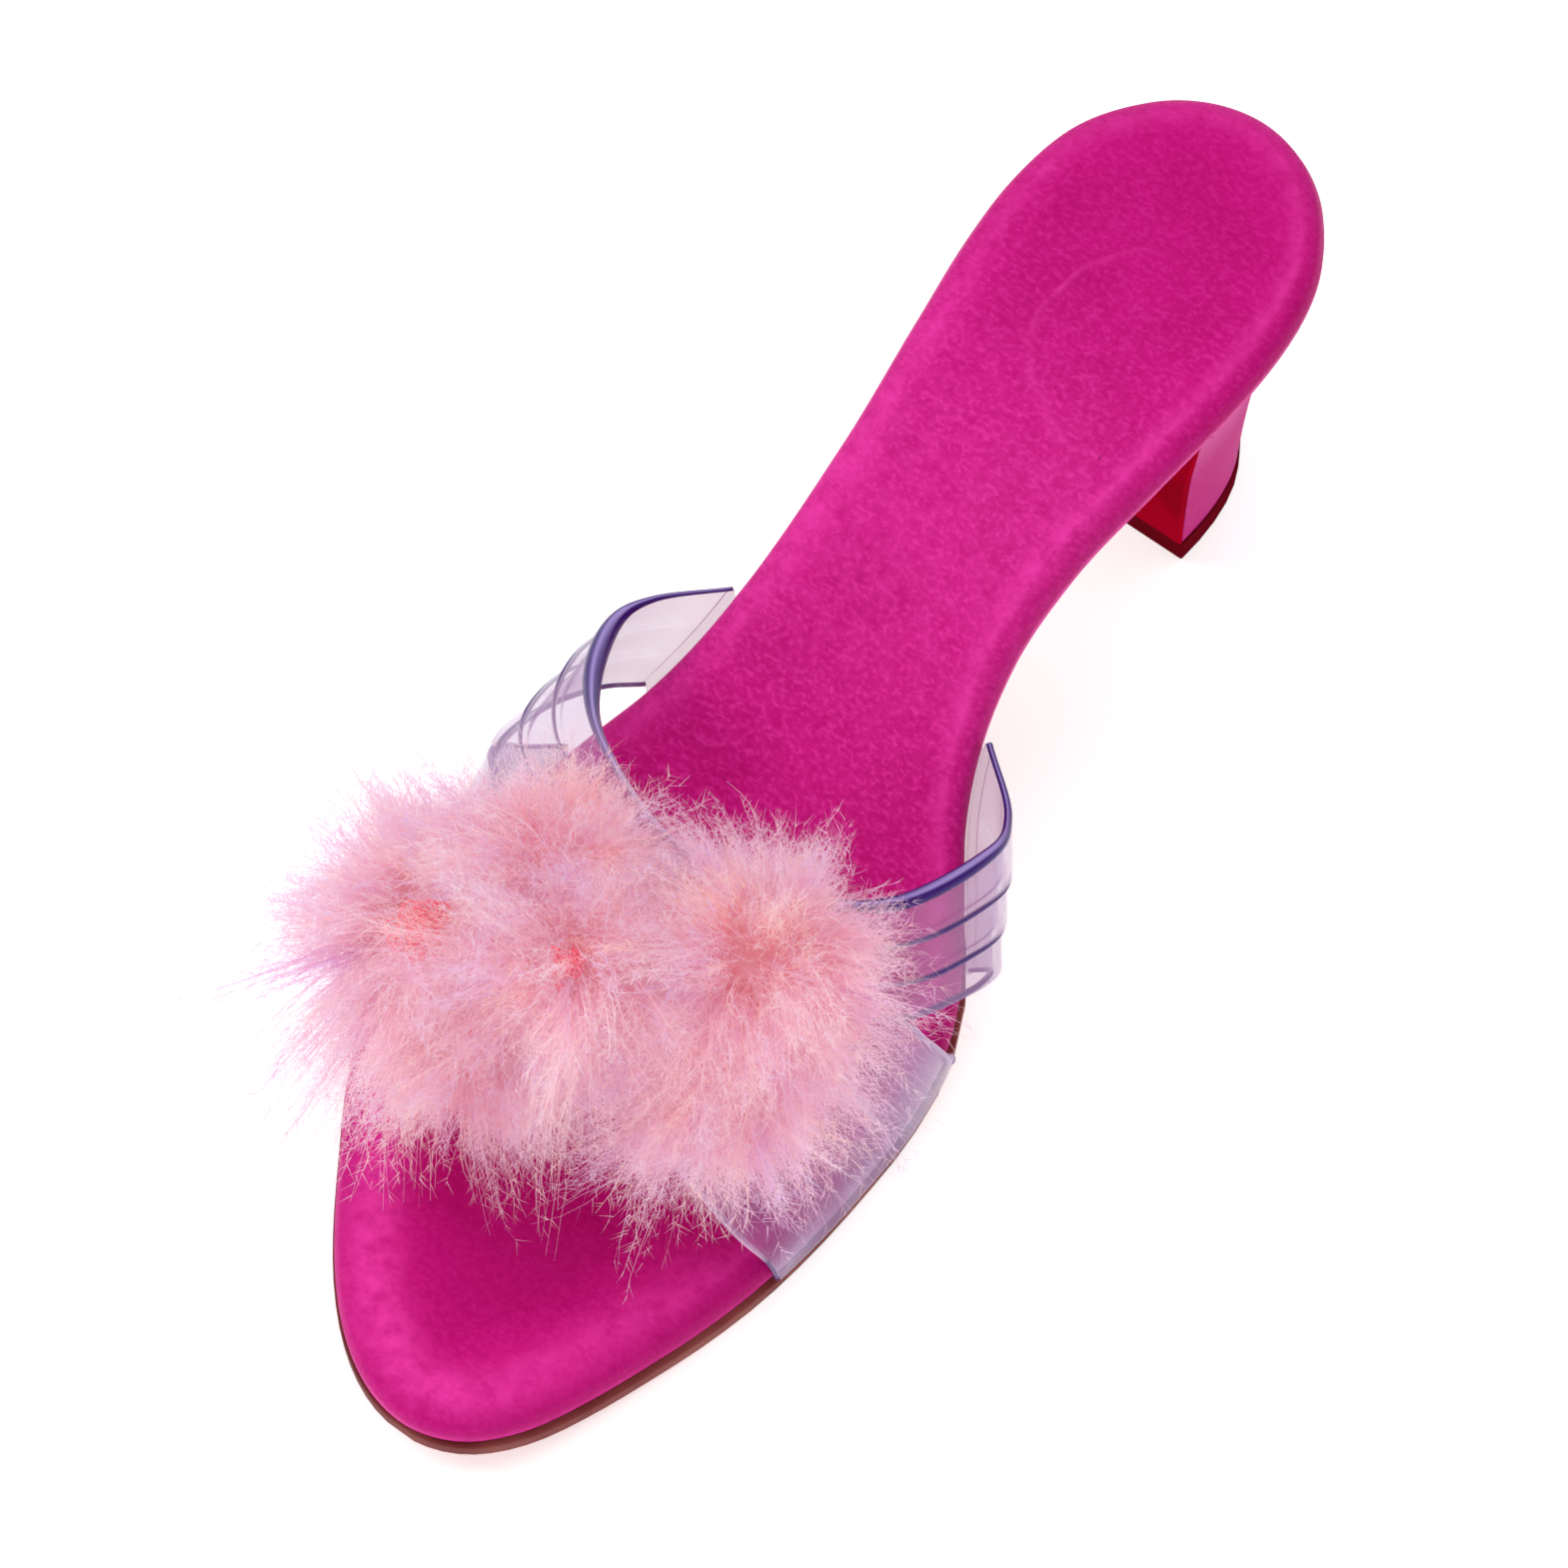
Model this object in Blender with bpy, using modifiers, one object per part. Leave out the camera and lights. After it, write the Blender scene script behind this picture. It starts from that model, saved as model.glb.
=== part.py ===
"""Right-foot evening mule: padded satin footbed on a leather outsole, a block heel,
a clear vinyl cross-over vamp with pleated bands, and a marabou feather trim.

The toe points to -Y, the wearer's left (medial side of a right foot) is +X, and the
floor is z = 0. The origin is the middle of the heel tip, on the floor.
Places along the shoe are given as a run from the back of the heel towards the toe.
"""

import math

import bmesh
import bpy
import numpy as np
from mathutils import Vector

# Driving sizes, in metres.
LENGTH = 0.238  # footbed in plan, from heel back to toe tip
BALL_WIDTH = 0.085  # footbed at the ball
HEEL_RISE = 0.0625  # underside of the seat above the underside of the ball
VAMP_HEIGHT = 0.052  # highest point of the vamp above the footbed
OUTSOLE = 0.0026  # leather thickness
FLAP = 0.0018  # leather thickness on the heel's front face
SIDE = 0.0022  # upright side of the footbed
ROLL_RISE = 0.0034  # height of the footbed's rolled edge above that side
ROLL_WIDTH = 0.0085  # how far in the roll reaches
TIP_THICKNESS = 0.0052  # wearing piece under the heel
TIP_MARGIN = 0.0004  # how far it stands out past the heel
WALL = 0.0014  # vinyl thickness
EDGE_WALL = 0.0022  # vinyl thickness at the polished edges
PLEAT = 0.0009  # height of a pleat's step
LASTING = 0.0060  # vinyl turned in under the footbed
GAP = 0.0003  # clearance between neighbouring pieces
VINYL_GAP = 0.0005  # clearance between the vinyl and the footbed's side
BREAST_TOP = 0.0445  # run of the heel's front face, at the seat
BREAST_FOOT = 0.0385  # and at the heel tip
HEEL_BACK_FOOT = 0.0105  # run of the heel's back, at the heel tip
FOOT_WIDTH = 0.0306  # heel tip, side to side
PUFF = 0.0195  # radius of the marabou's cores
LOCK = 0.0165  # length of a feather lock past its core
LOCK_BASE = 0.0042  # radius of a lock where it leaves its core
LOCK_DROOP = 0.30  # fall of a lock's tip, as a share of its length
LOWEST_LOCK = -0.45  # sine of the angle below which the foot's way is kept clear of locks

ORIGIN_RUN = (BREAST_FOOT + HEEL_BACK_FOOT) / 2

# Counts that set how finely the forms are cut.
SIDE_STATIONS = 60
HEEL_STATIONS = 12
ARCH_SAMPLES = 34
PLEATS = 3
LOCKS = 25

# Footbed outline: run as a share of LENGTH; the middle line (positive is medial) and
# the half width as shares of BALL_WIDTH.
OUTLINE = (
    # run, middle, half
    (0.000, 0.000, 0.000),
    (0.034, 0.000, 0.201),
    (0.084, 0.000, 0.284),
    (0.139, 0.003, 0.307),
    (0.189, 0.004, 0.302),
    (0.252, 0.000, 0.280),
    (0.328, -0.020, 0.253),
    (0.378, -0.031, 0.253),
    (0.420, -0.031, 0.272),
    (0.462, -0.019, 0.311),
    (0.504, 0.003, 0.375),
    (0.538, 0.014, 0.430),
    (0.576, 0.016, 0.472),
    (0.622, 0.010, 0.494),
    (0.672, 0.007, 0.500),
    (0.723, 0.010, 0.493),
    (0.773, 0.025, 0.464),
    (0.824, 0.048, 0.413),
    (0.870, 0.074, 0.352),
    (0.912, 0.098, 0.292),
    (0.950, 0.122, 0.226),
    (0.979, 0.141, 0.150),
    (1.000, 0.158, 0.000),
)

# Underside of the sole from the side: run as a share of LENGTH, height as a share of
# HEEL_RISE. It lies flat on the floor under the ball.
SIDE_LINE = (
    # run, height
    (0.000, 1.010),
    (0.090, 1.005),
    (0.170, 0.985),
    (0.250, 0.912),
    (0.330, 0.735),
    (0.420, 0.455),
    (0.500, 0.222),
    (0.580, 0.058),
    (0.640, 0.000),
    (0.760, 0.000),
    (0.880, 0.030),
    (1.000, 0.098),
)

# How far the outsole stands out past the footbed: run as a share of LENGTH, margin as a
# share of OUTSOLE. It shows round the forefoot and is tucked in under the waist.
SOLE_MARGINS = (
    # run, margin
    (0.000, -0.550),
    (0.440, -0.550),
    (0.530, 0.150),
    (1.000, 0.150),
)

# Heel block: drop as a share of its height; how far width, back and breast have gone
# from the seat's outline to the heel tip's.
HEEL_SECTIONS = (
    # drop, width, back, breast
    (0.00, 0.00, 0.00, 0.00),
    (0.07, 0.20, 0.16, 0.10),
    (0.18, 0.42, 0.36, 0.24),
    (0.34, 0.62, 0.58, 0.42),
    (0.56, 0.80, 0.79, 0.64),
    (0.78, 0.92, 0.92, 0.84),
    (1.00, 1.00, 1.00, 1.00),
)

# Edges of the vamp's two bands, from the medial to the lateral side: across as a share
# of BALL_WIDTH, run as a share of LENGTH, height above the footbed's top as a share of
# VAMP_HEIGHT. The ends on the sole are in BAND_ENDS.
COLLAR = (
    # across, run, height
    (0.384, 0.462, 0.125),
    (0.432, 0.510, 0.455),
    (0.380, 0.588, 0.800),
    (0.225, 0.634, 0.965),
    (0.020, 0.648, 1.000),
    (-0.215, 0.612, 0.870),
    (-0.362, 0.560, 0.555),
    (-0.437, 0.505, 0.260),
    (-0.418, 0.470, 0.100),
)
REAR_INNER = (
    (0.502, 0.534, 0.085),
    (0.508, 0.568, 0.285),
    (0.465, 0.626, 0.560),
    (0.315, 0.673, 0.765),
    (0.045, 0.706, 0.855),
    (-0.260, 0.678, 0.755),
    (-0.435, 0.634, 0.540),
    (-0.475, 0.575, 0.280),
    (-0.437, 0.526, 0.060),
)
FRONT_INNER = (
    (0.514, 0.589, 0.085),
    (0.506, 0.607, 0.330),
    (0.465, 0.626, 0.560),
    (0.315, 0.673, 0.765),
    (0.045, 0.706, 0.855),
    (-0.260, 0.678, 0.755),
    (-0.435, 0.634, 0.540),
    (-0.480, 0.606, 0.340),
    (-0.490, 0.582, 0.110),
)
TOE_EDGE = (
    (0.494, 0.771, 0.075),
    (0.440, 0.775, 0.160),
    (0.365, 0.777, 0.290),
    (0.235, 0.776, 0.455),
    (0.035, 0.772, 0.575),
    (-0.165, 0.760, 0.515),
    (-0.325, 0.745, 0.365),
    (-0.440, 0.735, 0.205),
    (-0.487, 0.727, 0.085),
)
# Runs, as shares of LENGTH, where each band edge meets the sole.
BAND_ENDS = (
    # medial, lateral
    (0.423, 0.430),
    (0.531, 0.500),
    (0.579, 0.555),
    (0.764, 0.718),
)
SHARED_FIRST, SHARED_LAST = 2, 6  # rows where both bands run together

# Marabou cores: across, run and height as in the tables above, and size as a share of
# PUFF.
CORES = (
    # across, run, height, size
    (0.292, 0.685, 1.000, 1.00),
    (0.310, 0.736, 0.600, 0.95),
    (0.045, 0.742, 0.950, 1.05),
    (-0.090, 0.690, 1.020, 0.95),
    (-0.265, 0.760, 0.690, 1.10),
)


def curve_at(knots, values, at, level=False):
    """Cubic through the values at the knots. Level keeps equal neighbours flat between."""
    knots = np.asarray(knots, float)
    values = np.asarray(values, float)
    steps = np.diff(knots)
    slopes = (np.diff(values, axis=0).T / steps).T
    tangents = np.empty_like(values)
    tangents[0], tangents[-1] = slopes[0], slopes[-1]
    for k in range(1, len(knots) - 1):
        before, after = steps[k - 1], steps[k]
        tangents[k] = (slopes[k - 1] * after + slopes[k] * before) / (before + after)
        if level:
            same_way = slopes[k - 1] * slopes[k] > 0
            most = 2.5 * min(abs(slopes[k - 1]), abs(slopes[k]))
            tangents[k] = np.clip(tangents[k], -most, most) if same_way else 0.0
    k = int(np.clip(np.searchsorted(knots, at, side="right") - 1, 0, len(steps) - 1))
    t = (at - knots[k]) / steps[k]
    rise = t * t * (3 - 2 * t)
    leave = t * (1 - t) ** 2 * steps[k]
    arrive = t * t * (t - 1) * steps[k]
    ends = values[k] * (1 - rise) + values[k + 1] * rise
    return ends + tangents[k] * leave + tangents[k + 1] * arrive


def turn_of(run):
    """Angle from 0 at the heel to pi at the toe, even-handed at both round ends."""
    return math.acos(np.clip(1 - 2 * run / LENGTH, -1, 1))


def run_of(turn):
    return LENGTH * (1 - math.cos(turn)) / 2


OUTLINE_TURNS = [turn_of(row[0] * LENGTH) for row in OUTLINE]
OUTLINE_MIDDLES = [row[1] * BALL_WIDTH for row in OUTLINE]
OUTLINE_HALVES = [row[2] * BALL_WIDTH for row in OUTLINE]


def edge_x(run, side):
    """Where the footbed's outline lies across, on the medial (1) or lateral (-1) side."""
    turn = turn_of(run)
    middle = curve_at(OUTLINE_TURNS, OUTLINE_MIDDLES, turn)
    return middle + side * curve_at(OUTLINE_TURNS, OUTLINE_HALVES, turn)


def edge_point(turn, side, out=0.0):
    """A point of the outline in plan as (across, run), moved out square to the outline."""
    small = 0.004
    point = np.array([edge_x(run_of(turn), side), run_of(turn)])
    if out == 0.0:
        return point
    before = max(turn - small, 0.0)
    after = min(turn + small, math.pi)
    along = np.array([edge_x(run_of(after), side), run_of(after)])
    along -= np.array([edge_x(run_of(before), side), run_of(before)])
    along /= np.linalg.norm(along)
    return point + out * side * np.array([along[1], -along[0]])


def under(run):
    """Height of the sole's underside."""
    runs = [row[0] for row in SIDE_LINE]
    heights = [row[1] for row in SIDE_LINE]
    share = np.clip(run / LENGTH, 0, 1)
    return HEEL_RISE * curve_at(runs, heights, share, level=True)


def stacked(run, thickness):
    """Height of a layer's face, thickness being measured square to the sole."""
    small = 0.0005
    slope = (under(run + small) - under(run - small)) / (2 * small)
    return under(run) + thickness * math.hypot(1, slope)


def sole_margin(run):
    runs = [row[0] for row in SOLE_MARGINS]
    margins = [row[1] for row in SOLE_MARGINS]
    return OUTSOLE * curve_at(runs, margins, np.clip(run / LENGTH, 0, 1), level=True)


FOOTBED_BASE = OUTSOLE + GAP
FOOTBED_TOP = FOOTBED_BASE + SIDE + ROLL_RISE
STATIONS = np.linspace(0, math.pi, SIDE_STATIONS)
ROLL_ANGLES = (0.0, 8.0, 24.0, 46.0, 70.0, 90.0)  # degrees round the rolled edge


def place(across, run, height):
    return Vector((across, ORIGIN_RUN - run, height))


def finish_mesh(name, vertices, faces, collection, material):
    mesh = bpy.data.meshes.new(name)
    mesh.from_pydata([tuple(v) for v in vertices], [], faces)
    shape = bmesh.new()
    shape.from_mesh(mesh)
    bmesh.ops.remove_doubles(shape, verts=shape.verts, dist=1e-6)
    bmesh.ops.recalc_face_normals(shape, faces=shape.faces)
    shape.to_mesh(mesh)
    shape.free()
    mesh.shade_smooth()
    mesh.set_sharp_from_angle(angle=math.radians(40))
    thing = bpy.data.objects.new(name, mesh)
    thing.data.materials.append(material)
    collection.objects.link(thing)
    return thing


def make_material(name, colour, roughness, alpha=1.0):
    material = bpy.data.materials.new(name)
    material.use_nodes = True
    shader = material.node_tree.nodes["Principled BSDF"]
    shader.inputs["Base Color"].default_value = (*colour, 1.0)
    shader.inputs["Roughness"].default_value = roughness
    shader.inputs["Metallic"].default_value = 0.0
    shader.inputs["Alpha"].default_value = alpha
    return material


def strip_cap(start, count, pointed):
    """Faces across a ring that runs up one side and back down the other. Pointed rings
    have one point at the far end, square ones two."""
    faces = [(start, start + 1, start + count - 1)]
    last = (count - 1) // 2
    for k in range(1, last):
        faces.append((start + k, start + k + 1, start + count - k - 1, start + count - k))
    if pointed:
        faces.append((start + last, start + last + 1, start + last + 2))
    return faces


def loft(rings, ends="flat"):
    """Vertices and faces of a skin over rings that all have as many points."""
    count = len(rings[0])
    vertices = [point for ring in rings for point in ring]
    faces = []
    for r in range(len(rings) - 1):
        for k in range(count):
            step = (k + 1) % count
            faces.append((r * count + k, r * count + step,
                          (r + 1) * count + step, (r + 1) * count + k))
    for start in (0, (len(rings) - 1) * count):
        if ends == "flat":
            faces.append(tuple(range(start, start + count)))
        else:
            faces += strip_cap(start, count, ends == "pointed")
    return vertices, faces


def outline_ring(turns, out):
    """Plan points around the outline: up the medial side, back down the lateral one."""
    medial = [edge_point(turn, 1, out) for turn in turns]
    lateral = [edge_point(turn, -1, out) for turn in turns[1:-1]]
    return medial + lateral[::-1]


def make_footbed(collection, material):
    """Padded board: a flat base, an upright side, a rolled edge and a level middle."""
    levels = [(0.0, FOOTBED_BASE)]
    for angle in ROLL_ANGLES:
        inward = ROLL_WIDTH * (1 - math.cos(math.radians(angle)))
        rise = ROLL_RISE * math.sin(math.radians(angle))
        levels.append((-inward, FOOTBED_BASE + SIDE + rise))
    rings = []
    for out, thickness in levels:
        ring = outline_ring(STATIONS, out)
        rings.append([place(x, run, stacked(run, thickness)) for x, run in ring])
    vertices, faces = loft(rings, ends="pointed")
    return finish_mesh("footbed", vertices, faces, collection, material)


def heel_section(drop):
    """Half width share, back run and breast run of the heel at a drop from 0 to 1."""
    drops = [row[0] for row in HEEL_SECTIONS]
    gone = curve_at(drops, [row[1:] for row in HEEL_SECTIONS], drop)
    seat_half = edge_x(BREAST_TOP, 1) - OUTLINE_MIDDLES[0] - GAP
    width = 1 + gone[0] * (FOOT_WIDTH / 2 / seat_half - 1)
    back = GAP + gone[1] * (HEEL_BACK_FOOT - GAP)
    breast = BREAST_TOP + gone[2] * (BREAST_FOOT - BREAST_TOP)
    return width, back, breast


def seat_share_points():
    """The seat's outline back to front, as (across, share of the way to the breast)."""
    last = turn_of(BREAST_TOP)
    turns = np.linspace(0, last, HEEL_STATIONS)
    ring = [edge_point(turn, 1, -GAP) for turn in turns]
    ring += [edge_point(turn, -1, -GAP) for turn in turns[:0:-1]]
    return [(x, max(run, 0.0) / BREAST_TOP) for x, run in ring]


def make_heel(collection, material):
    foot = TIP_THICKNESS + GAP
    rings = []
    for drop in [row[0] for row in HEEL_SECTIONS]:
        width, back, breast = heel_section(drop)
        ring = []
        for x, share in seat_share_points():
            seat_top = stacked(share * BREAST_TOP, OUTSOLE)
            height = foot + (seat_top - foot) * (1 - drop)
            ring.append(place(x * width, back + share * (breast - back), height))
        rings.append(ring)
    vertices, faces = loft(rings, ends="square")
    return finish_mesh("heel_block", vertices, faces, collection, material)


def make_heel_tip(collection, material):
    width, back, breast = heel_section(1.0)
    middle = (back + breast) / 2
    rings = []
    wear = 0.0006
    for height, out in ((0.0, TIP_MARGIN - wear), (wear, TIP_MARGIN), (TIP_THICKNESS, TIP_MARGIN)):
        grow = 1 + out / (FOOT_WIDTH / 2)
        ring = []
        for x, share in seat_share_points():
            run = middle + (back + share * (breast - back) - middle) * grow
            ring.append(place(x * width * grow, run, height))
        rings.append(ring)
    vertices, faces = loft(rings, ends="square")
    return finish_mesh("heel_tip", vertices, faces, collection, material)


def make_outsole(collection, material):
    """Leather from the toe to the heel's breast, then down the breast to the heel tip."""
    corner = BREAST_TOP + GAP
    rings = []
    for turn in STATIONS[-2::-1]:
        if run_of(turn) < corner + OUTSOLE:
            break
        out = sole_margin(run_of(turn))
        plan = (edge_point(turn, 1, out), edge_point(turn, -1, out))
        top = [place(x, run, stacked(run, OUTSOLE)) for x, run in plan]
        bottom = [place(x, run, under(run)) for x, run in plan]
        rings.append(top + bottom[::-1])
    half = edge_x(corner, 1) + sole_margin(corner)
    behind = [place(x, corner, stacked(corner, OUTSOLE)) for x in (half, -half)]
    fold = corner + OUTSOLE
    before = [place(x, fold, under(fold)) for x in (half, -half)]
    rings.append(behind + before[::-1])
    foot = TIP_THICKNESS + GAP
    seat_top = stacked(BREAST_TOP, OUTSOLE)
    seat_half = edge_x(BREAST_TOP, 1)
    for drop in [row[0] for row in HEEL_SECTIONS[1:]]:
        width, _, breast = heel_section(drop)
        height = foot + (seat_top - foot) * (1 - drop)
        half = seat_half * width
        behind = [place(x, breast + GAP, height) for x in (half, -half)]
        before = [place(x, breast + GAP + FLAP, height) for x in (half, -half)]
        rings.append(behind + before[::-1])
    vertices, faces = loft(rings)
    return finish_mesh("outsole", vertices, faces, collection, material)


def leg(run, side, reach=LASTING):
    """The vinyl's way from under the footbed, out and up its side, at one place."""
    turn = turn_of(run)
    half = WALL / 2
    seam = OUTSOLE + 1.5 * GAP + half
    corner = WALL
    stations = (
        (-reach, seam),
        (-corner * 0.4, seam),
        (VINYL_GAP + half - corner * 0.2, seam + corner * 0.2),
        (VINYL_GAP + half, seam + corner),
        (VINYL_GAP + half, FOOTBED_BASE + SIDE),
    )
    points = []
    for out, thickness in stations:
        x, point_run = edge_point(turn, side, out)
        points.append(np.array([x, point_run, stacked(point_run, thickness)]))
    return points


def hoop(edge_a, edge_b, ends_a, ends_b, share, reach=LASTING):
    """One line of the vamp, medial sole edge to lateral, between two band edges."""
    rows = []
    for a, b in zip(edge_a, edge_b):
        across, run, height = np.array(a) * (1 - share) + np.array(b) * share
        run *= LENGTH
        lift = height * VAMP_HEIGHT
        rows.append(np.array([across * BALL_WIDTH, run, stacked(run, FOOTBED_TOP) + lift]))
    ends = (np.array(ends_a) * (1 - share) + np.array(ends_b) * share) * LENGTH
    medial = leg(ends[0], 1, reach)
    lateral = leg(ends[1], -1, reach)
    arch = [medial[-1]] + rows + [lateral[-1]]
    knots = np.arange(len(arch))
    samples = np.linspace(0, len(arch) - 1, ARCH_SAMPLES)
    curve = [curve_at(knots, arch, at) for at in samples]
    return medial[:-1] + curve + lateral[-2::-1]


def vamp_lines(reach=LASTING):
    """Lines of both bands, collar to toe, with the height of the pleat at each line."""
    strip = ((0.0, 0.0), (0.5, 0.5), (0.93, 1.0))
    shares = [(p + at) / PLEATS for p in range(PLEATS) for at, _ in strip] + [1.0]
    steps = [height for _ in range(PLEATS) for _, height in strip] + [0.0]
    rear = [hoop(COLLAR, REAR_INNER, BAND_ENDS[0], BAND_ENDS[1], s, reach) for s in shares]
    front = [hoop(FRONT_INNER, TOE_EDGE, BAND_ENDS[2], BAND_ENDS[3], s, reach) for s in shares]
    return rear, front, steps


def shared_columns(count):
    """Columns between the notches, where the two bands are one sheet."""
    legs = (count - ARCH_SAMPLES) // 2
    rows = len(COLLAR) + 1
    first = legs + math.ceil((SHARED_FIRST + 1) * (ARCH_SAMPLES - 1) / rows)
    last = legs + math.floor((SHARED_LAST + 1) * (ARCH_SAMPLES - 1) / rows)
    return first, last


def outward_normals(sheet):
    along = np.gradient(sheet, axis=1)
    over = np.gradient(sheet, axis=0)
    normals = np.cross(along, over)
    normals /= np.linalg.norm(normals, axis=2, keepdims=True)
    crown = normals[:, sheet.shape[1] // 2, 2].mean()
    return normals if crown > 0 else -normals


def raised(lines, steps):
    """The lines with each pleat lifted square to the sheet, and none at the sole."""
    sheet = np.array(lines)
    count = sheet.shape[1]
    legs = (count - ARCH_SAMPLES) // 2
    fade = np.clip((np.arange(count) - legs) / 3, 0, 1)
    fade = np.minimum(fade, fade[::-1])
    lift = np.array(steps)[:, None] * fade[None, :] * PLEAT
    return sheet + outward_normals(sheet) * lift[:, :, None]


def vamp_sheet():
    """Vertices, faces and free-edge vertices of both bands, with a notch at each side."""
    rear, front, steps = vamp_lines()
    rear = raised(rear, steps)
    front = raised(front, steps)
    lines, count = rear.shape[:2]
    legs = (count - ARCH_SAMPLES) // 2
    first, last = shared_columns(count)
    seam = slice(first, last + 1)
    rear[-1, seam] = (rear[-1, seam] + front[0, seam]) / 2
    numbers = {}
    vertices = []
    edge = []
    for band, sheet in enumerate((rear, front)):
        for line in range(lines):
            for column in range(count):
                shared = first <= column <= last
                if band == 1 and line == 0 and shared:
                    numbers[band, line, column] = numbers[0, lines - 1, column]
                    continue
                numbers[band, line, column] = len(vertices)
                free = line in (0, lines - 1) and not (band == 0 and line > 0 and shared)
                if free and legs < column < count - legs - 1:
                    edge.append(len(vertices))
                vertices.append(place(*sheet[line, column]))
    faces = []
    for band in (0, 1):
        for line in range(lines - 1):
            for column in range(count - 1):
                corners = ((line, column), (line, column + 1),
                           (line + 1, column + 1), (line + 1, column))
                faces.append([numbers[band, *corner] for corner in corners])
    return vertices, faces, edge


def make_vamp(collection, material):
    """The vinyl sheet, given its wall by Solidify: thicker at the polished edges."""
    vertices, faces, edge = vamp_sheet()
    vamp = finish_mesh("vamp", vertices, faces, collection, material)
    polished = vamp.vertex_groups.new(name="polished_edge")
    polished.add(edge, 1.0, "REPLACE")
    wall = vamp.modifiers.new("wall", "SOLIDIFY")
    wall.thickness = EDGE_WALL
    wall.vertex_group = polished.name
    wall.thickness_vertex_group = WALL / EDGE_WALL
    wall.offset = 0.0
    wall.use_even_offset = False
    wall.use_rim = True
    return vamp


def cutter_object(name, vertices, faces, cutters):
    cutter = finish_mesh(name, vertices, faces, cutters, bpy.data.materials[0])
    cutter.hide_render = True
    cutter.display_type = "WIRE"
    return cutter


def cut_lasting_pockets(footbed, cutters):
    """Room in the footbed's underside for the vinyl turned in below it."""
    clear = WALL / 2 + 2 * GAP
    bands = ((BAND_ENDS[0], BAND_ENDS[1]), (BAND_ENDS[2], BAND_ENDS[3]))
    for number, (start, end) in enumerate(bands):
        for column, side in ((0, 1), (1, -1)):
            first = start[column] * LENGTH - clear - GAP
            last = end[column] * LENGTH + clear + GAP
            rings = []
            for run in np.linspace(first, last, 9):
                turn = turn_of(run)
                seam = OUTSOLE + 1.5 * GAP + WALL / 2
                ring = []
                for out, thickness in (
                    (-LASTING - clear, seam - 2 * clear),
                    (-LASTING - clear, seam + clear),
                    (clear * 2, seam + clear),
                    (clear * 2, seam - 2 * clear),
                ):
                    x, point_run = edge_point(turn, side, out)
                    ring.append(place(x, point_run, stacked(point_run, thickness)))
                rings.append(ring)
            vertices, faces = loft(rings)
            name = f"lasting_pocket_{number}_{column}"
            cutter = cutter_object(name, vertices, faces, cutters)
            cut = footbed.modifiers.new(name, "BOOLEAN")
            cut.operation = "DIFFERENCE"
            cut.solver = "EXACT"
            cut.object = cutter


def make_foot_space(cutters):
    """The space under and in the vamp, which the feathers stay out of."""
    clear = EDGE_WALL / 2 + PLEAT + 2 * GAP
    shares = np.linspace(0, 1, 5)
    lines = [hoop(COLLAR, FRONT_INNER, BAND_ENDS[0], BAND_ENDS[2], s) for s in shares]
    lines += [hoop(FRONT_INNER, TOE_EDGE, BAND_ENDS[2], BAND_ENDS[3], s) for s in shares[1:]]
    sheet = np.array(lines)[:, 4:-4]
    sheet = sheet + outward_normals(sheet) * clear
    first = sheet[0] + np.array([0, -0.004, 0])
    last = sheet[-1] + np.array([0, 0.0012, -0.0004])
    rings = []
    for line in [first, *sheet, last]:
        ring = [place(*point) for point in line]
        floor = -0.005
        ring.append(Vector((ring[-1].x, ring[-1].y, floor)))
        ring.append(Vector((ring[0].x, ring[0].y, floor)))
        rings.append(ring)
    vertices, faces = loft(rings)
    return cutter_object("foot_space", vertices, faces, cutters)


def lock_mesh(shape, root, aim, length, base):
    """A feather lock: a five-sided taper that droops as it goes out."""
    sides = 5
    aim = aim.normalized()
    across = aim.orthogonal().normalized()
    other = aim.cross(across)
    rings = []
    for share, width in ((-0.35, 1.0), (0.15, 1.0), (0.6, 0.62)):
        droop = Vector((0, 0, -LOCK_DROOP * length * max(share, 0) ** 2))
        centre = root + aim * (length * share) + droop
        ring = []
        for k in range(sides):
            angle = 2 * math.pi * k / sides
            spoke = across * math.cos(angle) + other * math.sin(angle)
            ring.append(shape.verts.new(centre + spoke * (base * width)))
        rings.append(ring)
    tip = shape.verts.new(root + aim * length + Vector((0, 0, -LOCK_DROOP * length)))
    for low, high in zip(rings, rings[1:]):
        for k in range(sides):
            step = (k + 1) % sides
            shape.faces.new((low[k], low[step], high[step], high[k]))
    for k in range(sides):
        shape.faces.new((rings[-1][k], rings[-1][(k + 1) % sides], tip))
    shape.faces.new(rings[0][::-1])


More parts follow.
